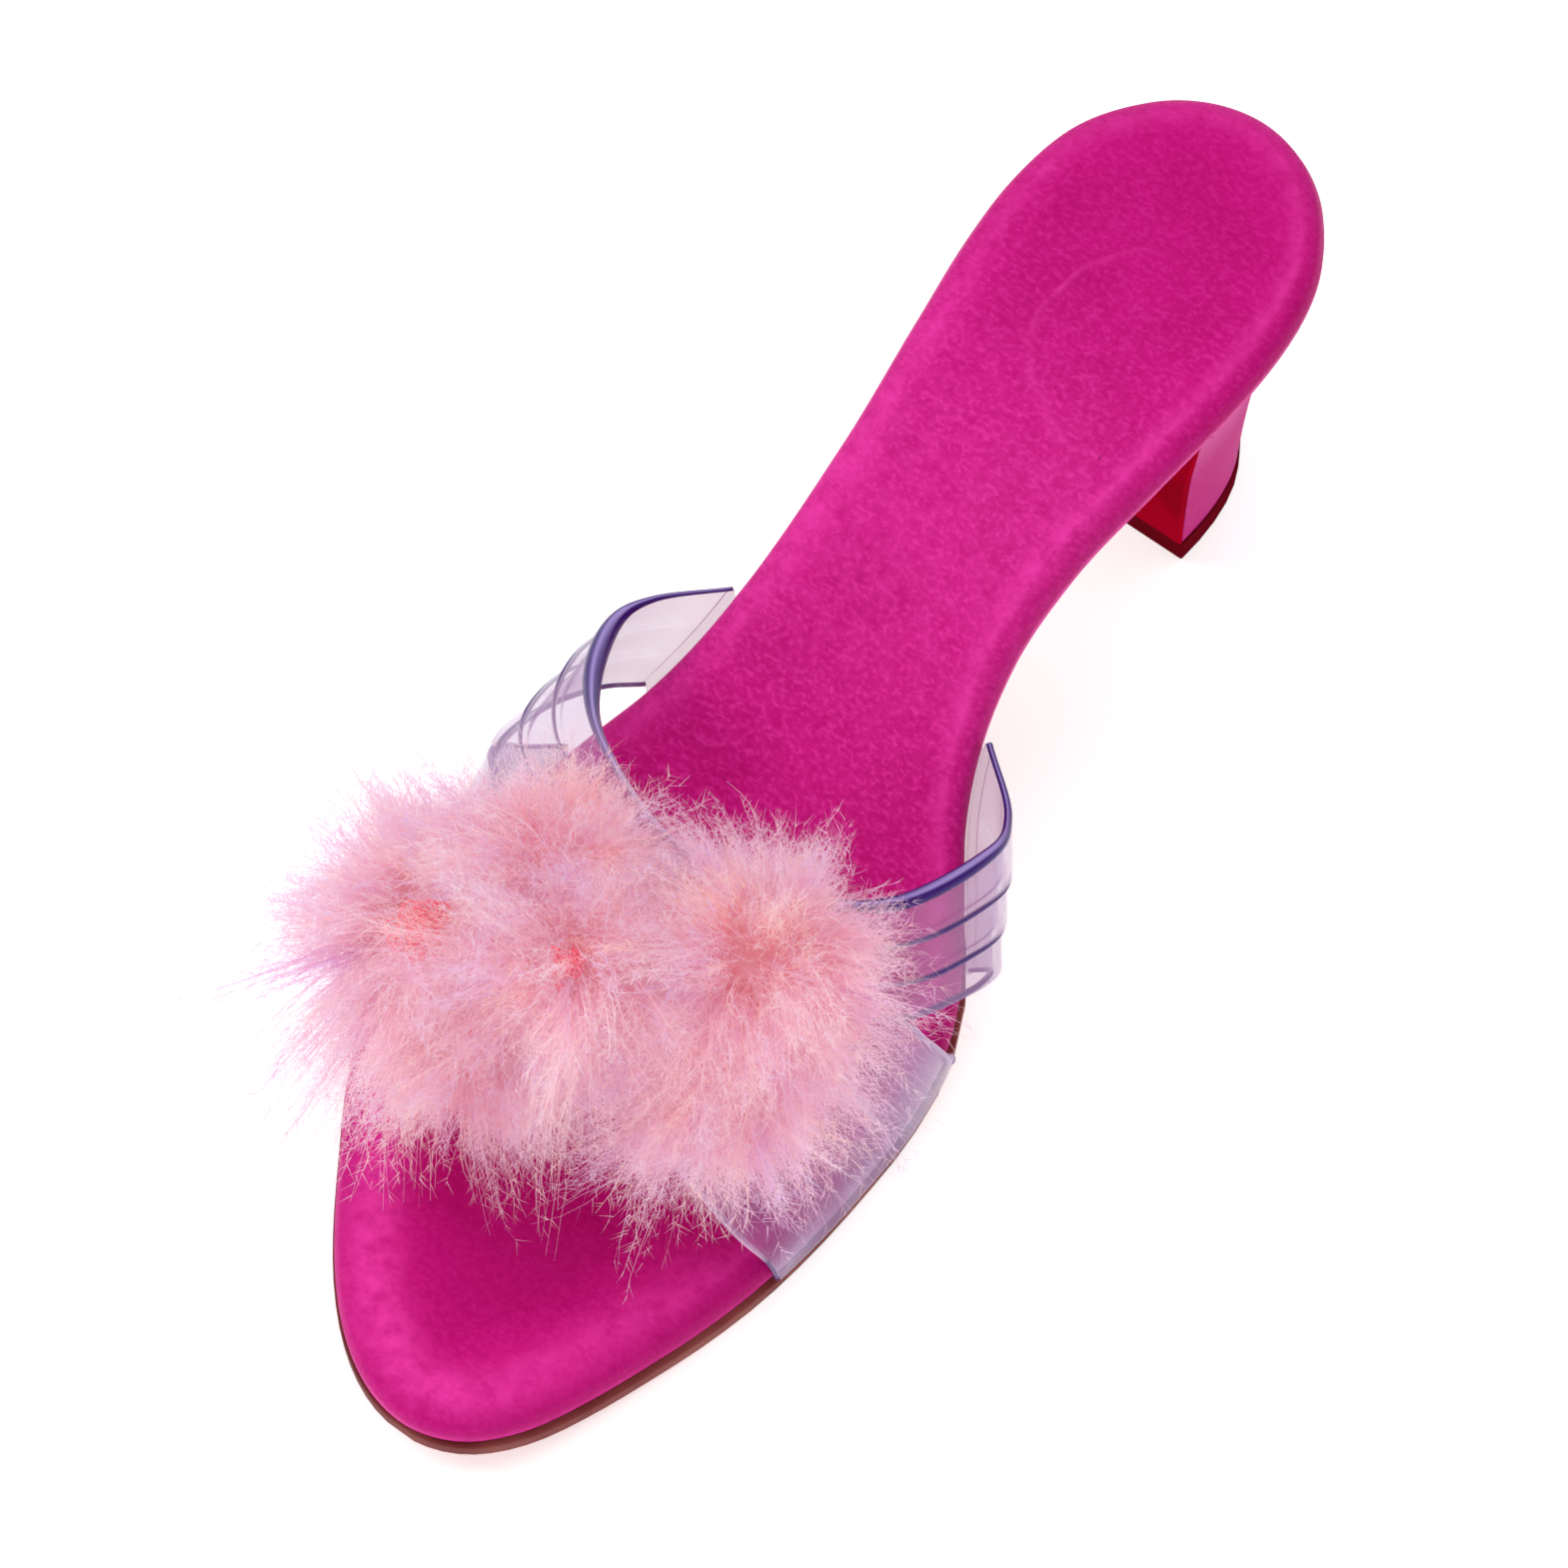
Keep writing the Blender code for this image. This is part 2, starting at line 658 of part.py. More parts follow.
def make_marabou(collection, cutters, material, foot_space):
    """Three feather cores in a row over the vamp, with locks fused on all round."""
    golden = math.pi * (3 - math.sqrt(5))
    cores = []
    locks = bmesh.new()
    for number, (across, run, height, size) in enumerate(CORES):
        run *= LENGTH
        lift = stacked(run, FOOTBED_TOP) + height * VAMP_HEIGHT
        centre = place(across * BALL_WIDTH, run, lift)
        radius = PUFF * size
        bpy.ops.mesh.primitive_uv_sphere_add(
            segments=18, ring_count=12, radius=radius, location=centre
        )
        core = bpy.context.object
        core.name = f"core_{number}"
        core.data.transform(core.matrix_world)
        core.location = (0, 0, 0)
        cores.append(core)
        for k in range(LOCKS):
            level = 1 - (1 - LOWEST_LOCK) * (k + 0.5) / LOCKS
            turn = golden * k + number
            flat = math.sqrt(1 - level * level)
            aim = Vector((flat * math.cos(turn), flat * math.sin(turn), level))
            reach = LOCK * size * (0.82 + 0.18 * math.sin(2.4 * k + number))
            lock_mesh(locks, centre + aim * radius, aim, reach, LOCK_BASE)
    bmesh.ops.recalc_face_normals(locks, faces=locks.faces)
    lock_data = bpy.data.meshes.new("locks")
    locks.to_mesh(lock_data)
    locks.free()
    lock_object = bpy.data.objects.new("locks", lock_data)
    cutters.objects.link(lock_object)
    marabou = cores[0]
    marabou.name = "marabou"
    marabou.data.name = "marabou"
    for other in cores[1:] + [lock_object]:
        join = marabou.modifiers.new(other.name, "BOOLEAN")
        join.operation = "UNION"
        join.solver = "EXACT"
        join.use_self = other is lock_object
        join.object = other
        other.hide_render = True
        other.display_type = "WIRE"
    clear = marabou.modifiers.new("foot_space", "BOOLEAN")
    clear.operation = "DIFFERENCE"
    clear.solver = "EXACT"
    clear.object = foot_space
    for thing in cores:
        for holder in list(thing.users_collection):
            holder.objects.unlink(thing)
        (collection if thing is marabou else cutters).objects.link(thing)
    marabou.data.materials.append(material)
    keep_largest_body(marabou)
    return marabou


def keep_largest_body(thing):
    """Applies the modifiers and drops lock tips that the cuts left loose."""
    bpy.context.view_layer.update()
    graph = bpy.context.evaluated_depsgraph_get()
    mesh = bpy.data.meshes.new_from_object(thing.evaluated_get(graph))
    shape = bmesh.new()
    shape.from_mesh(mesh)
    waiting = set(shape.verts)
    bodies = []
    while waiting:
        body = {waiting.pop()}
        front = list(body)
        while front:
            vertex = front.pop()
            near = {edge.other_vert(vertex) for edge in vertex.link_edges} - body
            body |= near
            front += near
        waiting -= body
        bodies.append(body)
    bodies.sort(key=len)
    loose = [vertex for body in bodies[:-1] for vertex in body]
    bmesh.ops.delete(shape, geom=loose, context="VERTS")
    shape.to_mesh(mesh)
    shape.free()
    thing.modifiers.clear()
    thing.data = mesh


def main():
    for thing in list(bpy.data.objects):
        bpy.data.objects.remove(thing)
    mule = bpy.data.collections.new("marabou_mule")
    cutters = bpy.data.collections.new("cutters")
    for collection in (mule, cutters):
        bpy.context.scene.collection.children.link(collection)
    satin = make_material("satin", (0.62, 0.005, 0.20), 0.42)
    leather = make_material("leather", (0.22, 0.005, 0.02), 0.45)
    tip = make_material("tip", (0.07, 0.005, 0.01), 0.55)
    vinyl = make_material("vinyl", (0.55, 0.40, 0.78), 0.08, alpha=0.35)
    feather = make_material("feather", (0.85, 0.36, 0.45), 0.90)
    footbed = make_footbed(mule, satin)
    make_heel(mule, satin)
    make_heel_tip(mule, tip)
    make_outsole(mule, leather)
    make_vamp(mule, vinyl)
    cut_lasting_pockets(footbed, cutters)
    foot_space = make_foot_space(cutters)
    make_marabou(mule, cutters, feather, foot_space)


main()
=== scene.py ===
"""Looks of a right-foot evening mule: satin footbed and heel, clear vinyl cross-over
vamp with polished folds, marabou trim, leather sole. Metres; the toe points to -Y."""

import math

import bmesh
import bpy
import numpy as np
from mathutils import Matrix, Vector
from mathutils.bvhtree import BVHTree


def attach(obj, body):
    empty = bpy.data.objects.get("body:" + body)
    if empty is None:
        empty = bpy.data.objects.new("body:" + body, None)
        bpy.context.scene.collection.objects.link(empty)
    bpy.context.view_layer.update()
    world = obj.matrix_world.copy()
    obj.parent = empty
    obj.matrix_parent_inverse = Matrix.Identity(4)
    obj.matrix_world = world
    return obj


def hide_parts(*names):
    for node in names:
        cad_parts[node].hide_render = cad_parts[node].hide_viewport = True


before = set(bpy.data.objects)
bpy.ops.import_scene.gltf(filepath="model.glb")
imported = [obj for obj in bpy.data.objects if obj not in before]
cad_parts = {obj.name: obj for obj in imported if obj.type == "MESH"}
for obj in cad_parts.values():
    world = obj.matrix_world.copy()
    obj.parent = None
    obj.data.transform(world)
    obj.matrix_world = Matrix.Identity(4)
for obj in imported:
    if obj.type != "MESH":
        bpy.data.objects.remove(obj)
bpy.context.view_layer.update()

# Driving sizes, those of the solids.
LENGTH = 0.238
BALL_WIDTH = 0.085
HEEL_RISE = 0.0625
VAMP_HEIGHT = 0.052
OUTSOLE = 0.0026
SIDE = 0.0022
ROLL_RISE = 0.0034
ROLL_WIDTH = 0.0085
TIP_THICKNESS = 0.0052
WALL = 0.0014
PLEAT = 0.0009
LASTING = 0.0050
GAP = 0.0003
VINYL_GAP = 0.0005
BREAST_TOP = 0.0445
BREAST_FOOT = 0.0385
HEEL_BACK_FOOT = 0.0105
FOOT_WIDTH = 0.0306
ORIGIN_RUN = (BREAST_FOOT + HEEL_BACK_FOOT) / 2
FOOTBED_BASE = OUTSOLE + GAP
SIDE_TOP = FOOTBED_BASE + SIDE
FOOTBED_TOP = SIDE_TOP + ROLL_RISE

# Footbed outline: run as a share of LENGTH; middle line (positive is medial) and half
# width as shares of BALL_WIDTH.
OUTLINE = np.array((
    (0.000, 0.000, 0.000),
    (0.034, 0.000, 0.201),
    (0.084, 0.000, 0.284),
    (0.139, 0.003, 0.307),
    (0.189, 0.004, 0.302),
    (0.252, 0.000, 0.280),
    (0.328, -0.020, 0.253),
    (0.378, -0.031, 0.253),
    (0.420, -0.031, 0.272),
    (0.462, -0.019, 0.311),
    (0.504, 0.003, 0.375),
    (0.538, 0.014, 0.430),
    (0.576, 0.016, 0.472),
    (0.622, 0.010, 0.494),
    (0.672, 0.007, 0.500),
    (0.723, 0.010, 0.493),
    (0.773, 0.025, 0.464),
    (0.824, 0.048, 0.413),
    (0.870, 0.074, 0.352),
    (0.912, 0.098, 0.292),
    (0.950, 0.122, 0.226),
    (0.979, 0.141, 0.150),
    (1.000, 0.158, 0.000),
))

# Underside from the side: run as a share of LENGTH, height as a share of HEEL_RISE.
SIDE_LINE = np.array((
    (0.000, 1.010),
    (0.090, 1.005),
    (0.170, 0.985),
    (0.250, 0.912),
    (0.330, 0.735),
    (0.420, 0.455),
    (0.500, 0.222),
    (0.580, 0.058),
    (0.640, 0.000),
    (0.760, 0.000),
    (0.880, 0.030),
    (1.000, 0.098),
))

# Padding: distance in from the edge as a share of ROLL_WIDTH, rise as a share of
# ROLL_RISE. A crest runs round near the edge, and the middle is dished.
PAD = np.array((
    (0.00, 0.00),
    (0.07, 0.42),
    (0.19, 0.67),
    (0.35, 0.85),
    (0.60, 0.98),
    (0.85, 1.02),
    (1.15, 0.99),
    (1.60, 0.87),
    (2.30, 0.72),
    (3.60, 0.62),
    (9.00, 0.60),
))

# Heel block: drop as a share of its height; how far width, back and breast have gone
# from the seat's outline to the heel tip's.
HEEL_SECTIONS = np.array((
    (0.00, 0.00, 0.00, 0.00),
    (0.07, 0.20, 0.16, 0.10),
    (0.18, 0.42, 0.36, 0.24),
    (0.34, 0.62, 0.58, 0.42),
    (0.56, 0.80, 0.79, 0.64),
    (0.78, 0.92, 0.92, 0.84),
    (1.00, 1.00, 1.00, 1.00),
))

# Edges of the vamp's bands, medial to lateral: across as a share of BALL_WIDTH, run as
# a share of LENGTH, height above the footbed as a share of VAMP_HEIGHT.
COLLAR = (
    (0.384, 0.462, 0.125),
    (0.432, 0.510, 0.455),
    (0.380, 0.588, 0.800),
    (0.225, 0.634, 0.965),
    (0.020, 0.648, 1.000),
    (-0.215, 0.612, 0.870),
    (-0.362, 0.560, 0.555),
    (-0.437, 0.505, 0.260),
    (-0.418, 0.470, 0.100),
)
REAR_INNER = (
    (0.502, 0.534, 0.085),
    (0.508, 0.568, 0.285),
    (0.465, 0.626, 0.560),
    (0.315, 0.673, 0.765),
    (0.045, 0.706, 0.855),
    (-0.260, 0.678, 0.755),
    (-0.435, 0.634, 0.540),
    (-0.475, 0.575, 0.280),
    (-0.437, 0.526, 0.060),
)
FRONT_INNER = (
    (0.514, 0.589, 0.085),
    (0.506, 0.607, 0.330),
    (0.465, 0.626, 0.560),
    (0.315, 0.673, 0.765),
    (0.045, 0.706, 0.855),
    (-0.260, 0.678, 0.755),
    (-0.435, 0.634, 0.540),
    (-0.480, 0.606, 0.340),
    (-0.490, 0.582, 0.110),
)
TOE_EDGE = (
    (0.494, 0.771, 0.075),
    (0.440, 0.775, 0.160),
    (0.365, 0.777, 0.290),
    (0.235, 0.776, 0.455),
    (0.035, 0.772, 0.575),
    (-0.165, 0.760, 0.515),
    (-0.325, 0.745, 0.365),
    (-0.440, 0.735, 0.205),
    (-0.487, 0.727, 0.085),
)
# Runs where each band edge meets the sole, medial and lateral.
BAND_ENDS = ((0.423, 0.430), (0.531, 0.500), (0.579, 0.555), (0.764, 0.718))
PLEATS = 3

# Marabou cores: across, run and height as above, the reach of the down, and how much
# further it reaches the way it is brushed.
CORES = (
    (0.292, 0.685, 1.000, 0.032, 0.00),
    (0.300, 0.726, 0.640, 0.027, -0.05),
    (0.020, 0.742, 0.930, 0.033, 0.00),
    (-0.100, 0.712, 0.950, 0.029, 0.00),
    (-0.275, 0.758, 0.690, 0.034, 0.20),
    (-0.120, 0.785, 0.500, 0.025, 0.00),
)
# Curled quills that show: number of the puff, how far out as a share of its reach,
# size, loops.
QUILLS = (
    (4, 0.56, 0.0044, 70),
    (2, 0.44, 0.0028, 24),
    (5, 0.55, 0.0018, 5),
)
QUILL_RADIUS = 0.00019
CORE_RADIUS = 0.0105
BRUSH = np.array((0.08, -0.85, -0.52))  # the way the down is brushed and hangs
TUFTS, BARBS, SEGMENTS = 104, 54, 6  # tufts in a puff, barbs in a tuft, steps in a barb
BARBULES, BARBULE_LENGTH = 9, 0.0026  # side hairs on a barb
VINYL_ROOM = 0.0012  # least room between down and vinyl
SATIN_ROOM = 0.0008  # least room between down and satin
SEED = 7

CREASE_RISE = 0.00032  # the seat's crease
SOLE_MARGIN = 0.0006  # what the sole shows beyond the solid at the medial forefoot
# Flap on the heel's front: height where it begins to thin, drop to full, share that goes.
SKIVE_TOP, SKIVE_DROP, SKIVE = 0.014, 0.0075, 0.80

# Camera: degrees, metres and millimetres of lens; its target is on the floor.
CAMERA_AZIMUTH = 37.6
CAMERA_ELEVATION = 62.0
CAMERA_DISTANCE = 1.3
CAMERA_LENS = 186.05
CAMERA_TARGET = (-0.0105, ORIGIN_RUN - 0.1108, 0.0)

# Colours, linear RGB.
PINK_DEEP = (0.47, 0.002, 0.150)
PINK = (0.60, 0.006, 0.215)
# Light pink: the mottle's light tone, also the footbed's painted highlight.
PINK_LIGHT = (0.88, 0.050, 0.410)
# Painted shade of the footbed's rolled edges and hollows.
PINK_PAINTED_SHADE = (0.33, 0.002, 0.095)
HEEL_PINK = (0.50, 0.014, 0.20)
# Lilac pink: the heel's mottle's light tone, also the painted highlight at the heel's top.
HEEL_LIGHT = (0.84, 0.26, 0.56)
CRIMSON = (0.42, 0.001, 0.020)
CRIMSON_DEEP = (0.26, 0.002, 0.012)
MAROON = (0.155, 0.022, 0.024)
MAROON_LIGHT = (0.29, 0.085, 0.072)
LIFT = (0.100, 0.002, 0.006)
LIFT_LIGHT = (0.15, 0.004, 0.012)
VINYL = (0.42, 0.15, 0.44)
VINYL_SIDE = (0.34, 0.20, 0.56)
VIOLET = (0.040, 0.007, 0.150)
# Painted highlight where the folds lie flatter over the instep.
FOLD_PAINTED_HIGHLIGHT = (0.92, 0.60, 0.84)
# Painted highlight along the top of the thick collar fold.
STRIPE_PAINTED_HIGHLIGHT = (0.46, 0.34, 0.76)
# Deeper root colour: partly the down's own tone, partly painted shade between the clumps.
DOWN_ROOT = (0.86, 0.38, 0.44)
DOWN_MIDDLE = (0.91, 0.60, 0.66)
DOWN_TIP = (0.89, 0.71, 0.77)
QUILL = (0.70, 0.055, 0.110)
QUILL_LIGHT = (0.88, 0.24, 0.30)


def curve_at(knots, values, at, level=False):
    """Cubic through the values at the knots. Level keeps equal neighbours flat between."""
    knots = np.asarray(knots, float)
    values = np.asarray(values, float)
    flat = values.ndim == 1
    if flat:
        values = values[:, None]
    steps = np.diff(knots)[:, None]
    slopes = np.diff(values, axis=0) / steps
    tangents = np.concatenate([slopes[:1], np.zeros_like(values[1:-1]), slopes[-1:]])
    before, after = steps[:-1], steps[1:]
    inner = (slopes[:-1] * after + slopes[1:] * before) / (before + after)
    if level:
        most = 2.5 * np.minimum(abs(slopes[:-1]), abs(slopes[1:]))
        inner = np.where(slopes[:-1] * slopes[1:] > 0, np.clip(inner, -most, most), 0)
    tangents[1:-1] = inner
    at = np.asarray(at, float)
    k = np.clip(np.searchsorted(knots, at, side="right") - 1, 0, len(knots) - 2)
    step = steps[k]
    t = (at[..., None] - knots[k][..., None]) / step
    rise = t * t * (3 - 2 * t)
    found = values[k] * (1 - rise) + values[k + 1] * rise
    found = found + tangents[k] * (t * (1 - t) ** 2 * step)
    found = found + tangents[k + 1] * (t * t * (t - 1) * step)
    return found[..., 0] if flat else found


def turn_of(run):
    """Angle of a run on a half circle over the length, which rounds off heel and toe."""
    return np.arccos(np.clip(1 - 2 * np.asarray(run) / LENGTH, -1, 1))


def run_of(turn):
    return LENGTH * (1 - np.cos(turn)) / 2


TURNS = turn_of(OUTLINE[:, 0] * LENGTH)


def edge_x(run, side):
    """Across place of the outline, on the medial (1) or lateral (-1) side."""
    middle_half = curve_at(TURNS, OUTLINE[:, 1:] * BALL_WIDTH, turn_of(run))
    return middle_half[..., 0] + side * middle_half[..., 1]


def edge_point(turn, side, out=0.0):
    """Plan points (across, run) of the outline, moved out square to it."""
    small = 0.004
    turn = np.asarray(turn, float)
    run = run_of(turn)
    point = np.stack([edge_x(run, side), run], axis=-1)
    ends = []
    for at in (np.maximum(turn - small, 0), np.minimum(turn + small, math.pi)):
        ends.append(np.stack([edge_x(run_of(at), side), run_of(at)], axis=-1))
    along = ends[1] - ends[0]
    along /= np.linalg.norm(along, axis=-1, keepdims=True)
    square = np.stack([along[..., 1], -along[..., 0]], axis=-1)
    return point + np.asarray(out)[..., None] * side * square


def under(run):
    """Height of the sole's underside."""
    share = np.clip(np.asarray(run) / LENGTH, 0, 1)
    return HEEL_RISE * curve_at(SIDE_LINE[:, 0], SIDE_LINE[:, 1], share, level=True)


def stacked(run, thickness):
    """Height of a layer's face, thickness being measured square to the sole."""
    small = 0.0005
    run = np.asarray(run, float)
    slope = (under(run + small) - under(run - small)) / (2 * small)
    return under(run) + thickness * np.hypot(1, slope)


def placed(plan, height):
    """World points of plan points (across, run) at a height."""
    height = height + 0 * plan[..., 0]
    return np.stack([plan[..., 0], ORIGIN_RUN - plan[..., 1], height], axis=-1)


def bell(value, middle, width):
    return np.exp(-((value - middle) / width) ** 2)


def grid_faces(rows, columns, start=0, wrap=False):
    """Quads over a grid of points that are numbered row by row."""
    wide = columns if wrap else columns - 1
    r, c = np.meshgrid(np.arange(rows - 1), np.arange(wide), indexing="ij")
    r, c = r.ravel(), c.ravel()
    step = (c + 1) % columns
    quads = np.stack([r * columns + c, r * columns + step,
                      (r + 1) * columns + step, (r + 1) * columns + c], axis=1)
    return (quads + start).tolist()


def joined(parts):
    """One set of points and faces from several."""
    faces = []
    start = 0
    for points, own in parts:
        faces += [tuple(start + k for k in face) for face in own]
        start += len(points)
    return np.concatenate([points for points, _ in parts]), faces


def make_piece(name, points, faces, material, node=None, sharp=None, outward=True):
    """A mesh object that rides on the shoe's one body."""
    mesh = bpy.data.meshes.new(name)
    mesh.from_pydata(np.asarray(points, float).reshape(-1, 3).tolist(), [], faces)
    if outward:
        shape = bmesh.new()
        shape.from_mesh(mesh)
        bmesh.ops.remove_doubles(shape, verts=shape.verts, dist=1e-6)
        bmesh.ops.recalc_face_normals(shape, faces=shape.faces)
        shape.to_mesh(mesh)
        shape.free()
    mesh.shade_smooth()
    if sharp:
        mesh.set_sharp_from_angle(angle=math.radians(sharp))
    piece = bpy.data.objects.new(name, mesh)
    bpy.context.scene.collection.objects.link(piece)
    mesh.materials.append(material)
    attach(piece, "root")
    if node:
        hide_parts(node)
    return piece


class Nodes:
    """Short calls for a material's node tree."""

    def __init__(self, name):
        self.material = bpy.data.materials.new(name)
        self.material.use_nodes = True
        self.tree = self.material.node_tree
        self.shader = self.tree.nodes["Principled BSDF"]

    def add(self, kind, **values):
        node = self.tree.nodes.new(kind)
        for key, value in values.items():
            setattr(node, key, value)
        return node

    def link(self, source, target):
        self.tree.links.new(source, target)

    def put(self, **values):
        for key, value in values.items():
            socket = self.shader.inputs[key.replace("_", " ")]
            socket.default_value = (*value, 1.0) if isinstance(value, tuple) else value

    def noise(self, scale, detail=2.0, roughness=0.5, stretch=None):
        """Noise in the object's own space; scale is features a metre."""
        place = self.add("ShaderNodeTexCoord").outputs["Object"]
        if stretch:
            mapping = self.add("ShaderNodeMapping")
            mapping.inputs["Scale"].default_value = stretch
            self.link(place, mapping.inputs["Vector"])
            place = mapping.outputs["Vector"]
        noise = self.add("ShaderNodeTexNoise")
        noise.inputs["Scale"].default_value = scale
        noise.inputs["Detail"].default_value = detail
        noise.inputs["Roughness"].default_value = roughness
        self.link(place, noise.inputs["Vector"])
        return noise.outputs["Fac"]

    def ramp(self, source, *stops):
        """Colour ramp; each stop is (position, colour or number)."""
        ramp = self.add("ShaderNodeValToRGB")
        elements = ramp.color_ramp.elements
        for number, (position, colour) in enumerate(stops):
            element = elements[number] if number < 2 else elements.new(position)
            element.position = position
            colour = colour if isinstance(colour, tuple) else (colour,) * 3
            element.color = (*colour, 1.0)
        self.link(source, ramp.inputs["Fac"])
        return ramp.outputs["Color"]

    def mix(self, factor, first, second, blend="MIX"):
        mix = self.add("ShaderNodeMix", data_type="RGBA", blend_type=blend)
        for value, socket in ((factor, 0), (first, 6), (second, 7)):
            if isinstance(value, bpy.types.NodeSocket):
                self.link(value, mix.inputs[socket])
            elif socket:
                mix.inputs[socket].default_value = (*value, 1.0)
            else:
                mix.inputs[socket].default_value = value
        return mix.outputs[2]

    def bump(self, height, strength, distance, normal=None):
        bump = self.add("ShaderNodeBump")
        bump.inputs["Strength"].default_value = strength
        bump.inputs["Distance"].default_value = distance
        self.link(height, bump.inputs["Height"])
        if normal:
            self.link(normal, bump.inputs["Normal"])
        return bump.outputs["Normal"]


def satin(name, deep, middle, light, dark, shine, patchy):
    """Satin with a mottled pile. Point attributes say where highlights are painted on, where
    shade is painted on and how far it is mottled."""
    n = Nodes(name)
    mottle = n.noise(1250, detail=4.0, roughness=0.60, stretch=(0.7, 1.0, 1.0))
    cloud = n.noise(70, detail=3.0)
    strong = n.ramp(mottle, (0.33, deep), (0.50, middle), (0.68, light))
    mild = n.ramp(mottle, (0.25, deep), (0.55, middle))
    mottled = n.add("ShaderNodeAttribute", attribute_name="mottled").outputs["Fac"]
    colour = n.mix(mottled, mild, strong)
    broad = n.ramp(cloud, (0.36, deep), (0.62, middle))
    colour = n.mix(0.38, colour, broad)
    # Painted highlight: lit bands, ridges and creases go towards the light colour, broken into
    # flecks by noise.
    brushed = n.add("ShaderNodeAttribute", attribute_name="painted_highlight").outputs["Fac"]
    patches = n.add("ShaderNodeMath", operation="MULTIPLY")
    n.link(brushed, patches.inputs[0])
    n.link(n.ramp(n.noise(330, detail=4.0, roughness=0.65), (0.34, 1.0 - patchy), (0.62, 1.0)),
           patches.inputs[1])
    colour = n.mix(patches.outputs[0], colour, light)
    # Painted shade: rolled edges and hollows go towards the dark colour.
    shaded = n.add("ShaderNodeAttribute", attribute_name="shade").outputs["Fac"]
    colour = n.mix(shaded, colour, dark)
    n.link(colour, n.shader.inputs["Base Color"])
    rough = n.ramp(mottle, (0.3, 0.40), (0.7, 0.54))
    n.link(rough, n.shader.inputs["Roughness"])
    thread = n.noise(2400, detail=1.0, stretch=(0.22, 1.0, 1.0))
    normal = n.bump(thread, 0.16, 0.00015)
    normal = n.bump(mottle, 0.34, 0.0006, normal)
    n.link(normal, n.shader.inputs["Normal"])
    n.put(Sheen_Weight=0.16, Sheen_Roughness=0.32, Sheen_Tint=(1.0, 0.14, 0.58),
          Specular_IOR_Level=shine, Specular_Tint=(1.0, 0.35, 0.75))
    return n.material


def leather(name, dark, light, roughness, shine, painted_glow=0.0):
    """Fine-grained leather or horn, cloudy between two colours. Set above nought, the emission
    strength makes the surface shine in its own colour, a painted light.
    """
    n = Nodes(name)
    grain = n.noise(1500, detail=5.0, roughness=0.6)
    cloud = n.noise(60, detail=3.0)
    colour = n.ramp(cloud, (0.30, dark), (0.72, light))
    n.link(colour, n.shader.inputs["Base Color"])
    n.link(colour, n.shader.inputs["Emission Color"])
    n.link(n.ramp(grain, (0.3, roughness - 0.06), (0.7, roughness + 0.08)),
           n.shader.inputs["Roughness"])
    n.link(n.bump(grain, 0.18, 0.0003), n.shader.inputs["Normal"])
    n.put(Specular_IOR_Level=shine, Emission_Strength=painted_glow)
    return n.material


def clear_vinyl():
    """Clear film: nearly invisible face on, milky lilac and glossy where it turns away."""
    n = Nodes("clear_vinyl")
    facing = n.add("ShaderNodeLayerWeight")
    facing.inputs["Blend"].default_value = 0.5
    turned = facing.outputs["Facing"]
    n.link(n.ramp(turned, (0.0, 0.24), (0.5, 0.31), (0.85, 0.58), (1.0, 0.88)),
           n.shader.inputs["Alpha"])
    n.link(n.ramp(turned, (0.45, VINYL), (0.95, VINYL_SIDE)), n.shader.inputs["Base Color"])
    n.link(n.bump(n.noise(160, detail=1.0), 0.25, 0.0012), n.shader.inputs["Normal"])
    n.put(Roughness=0.09, Coat_Weight=1.0, Coat_Roughness=0.03, Specular_IOR_Level=0.7)
    return n.material


def folded_vinyl():
    """Polished fold: indigo with a pale line of painted highlight along the thick one's top, and
    pale painted highlight over the instep.
    """
    n = Nodes("folded_vinyl")
    depth = n.add("ShaderNodeAttribute", attribute_name="depth").outputs["Fac"]
    shown = n.add("ShaderNodeAttribute", attribute_name="shown").outputs["Fac"]
    highlight_stripe = n.add("ShaderNodeAttribute", attribute_name="highlight_stripe").outputs["Fac"]
    dark = n.mix(highlight_stripe, VIOLET, STRIPE_PAINTED_HIGHLIGHT)
    n.link(n.mix(depth, FOLD_PAINTED_HIGHLIGHT, dark), n.shader.inputs["Base Color"])
    n.link(shown, n.shader.inputs["Alpha"])
    n.put(Roughness=0.22, Coat_Weight=0.06, Coat_Roughness=0.05, Specular_IOR_Level=0.12)
    return n.material


def down_material():
    """Marabou down: colour from the strand's own attribute, some light through it, and a faint
    emission in its own colour, which is painted light.
    """
    n = Nodes("marabou_down")
    tint = n.add("ShaderNodeAttribute", attribute_name="tint").outputs["Color"]
    fleck = n.noise(400, detail=2.0)
    colour = n.mix(n.ramp(fleck, (0.35, 0.0), (0.75, 0.22)), tint, DOWN_TIP)
    n.link(colour, n.shader.inputs["Base Color"])
    n.link(colour, n.shader.inputs["Emission Color"])
    # Painted light: the down gives off a faint light in its own colour.
    n.put(Roughness=0.75, Specular_IOR_Level=0.15, Emission_Strength=0.20)
    through = n.add("ShaderNodeBsdfTranslucent")
    n.link(colour, through.inputs["Color"])
    both = n.add("ShaderNodeMixShader")
    both.inputs[0].default_value = 0.50
    out = n.tree.nodes["Material Output"]
    n.link(n.shader.outputs[0], both.inputs[1])
    n.link(through.outputs[0], both.inputs[2])
    n.link(both.outputs[0], out.inputs["Surface"])
    return n.material


def set_attribute(piece, name, values, kind="FLOAT"):
    """Values for each point, which the piece's material reads by name."""
    layer = piece.data.attributes.new(name, kind, "POINT")
    values = np.asarray(values, np.float32)
    layer.data.foreach_set("value" if kind == "FLOAT" else "color", values.ravel())


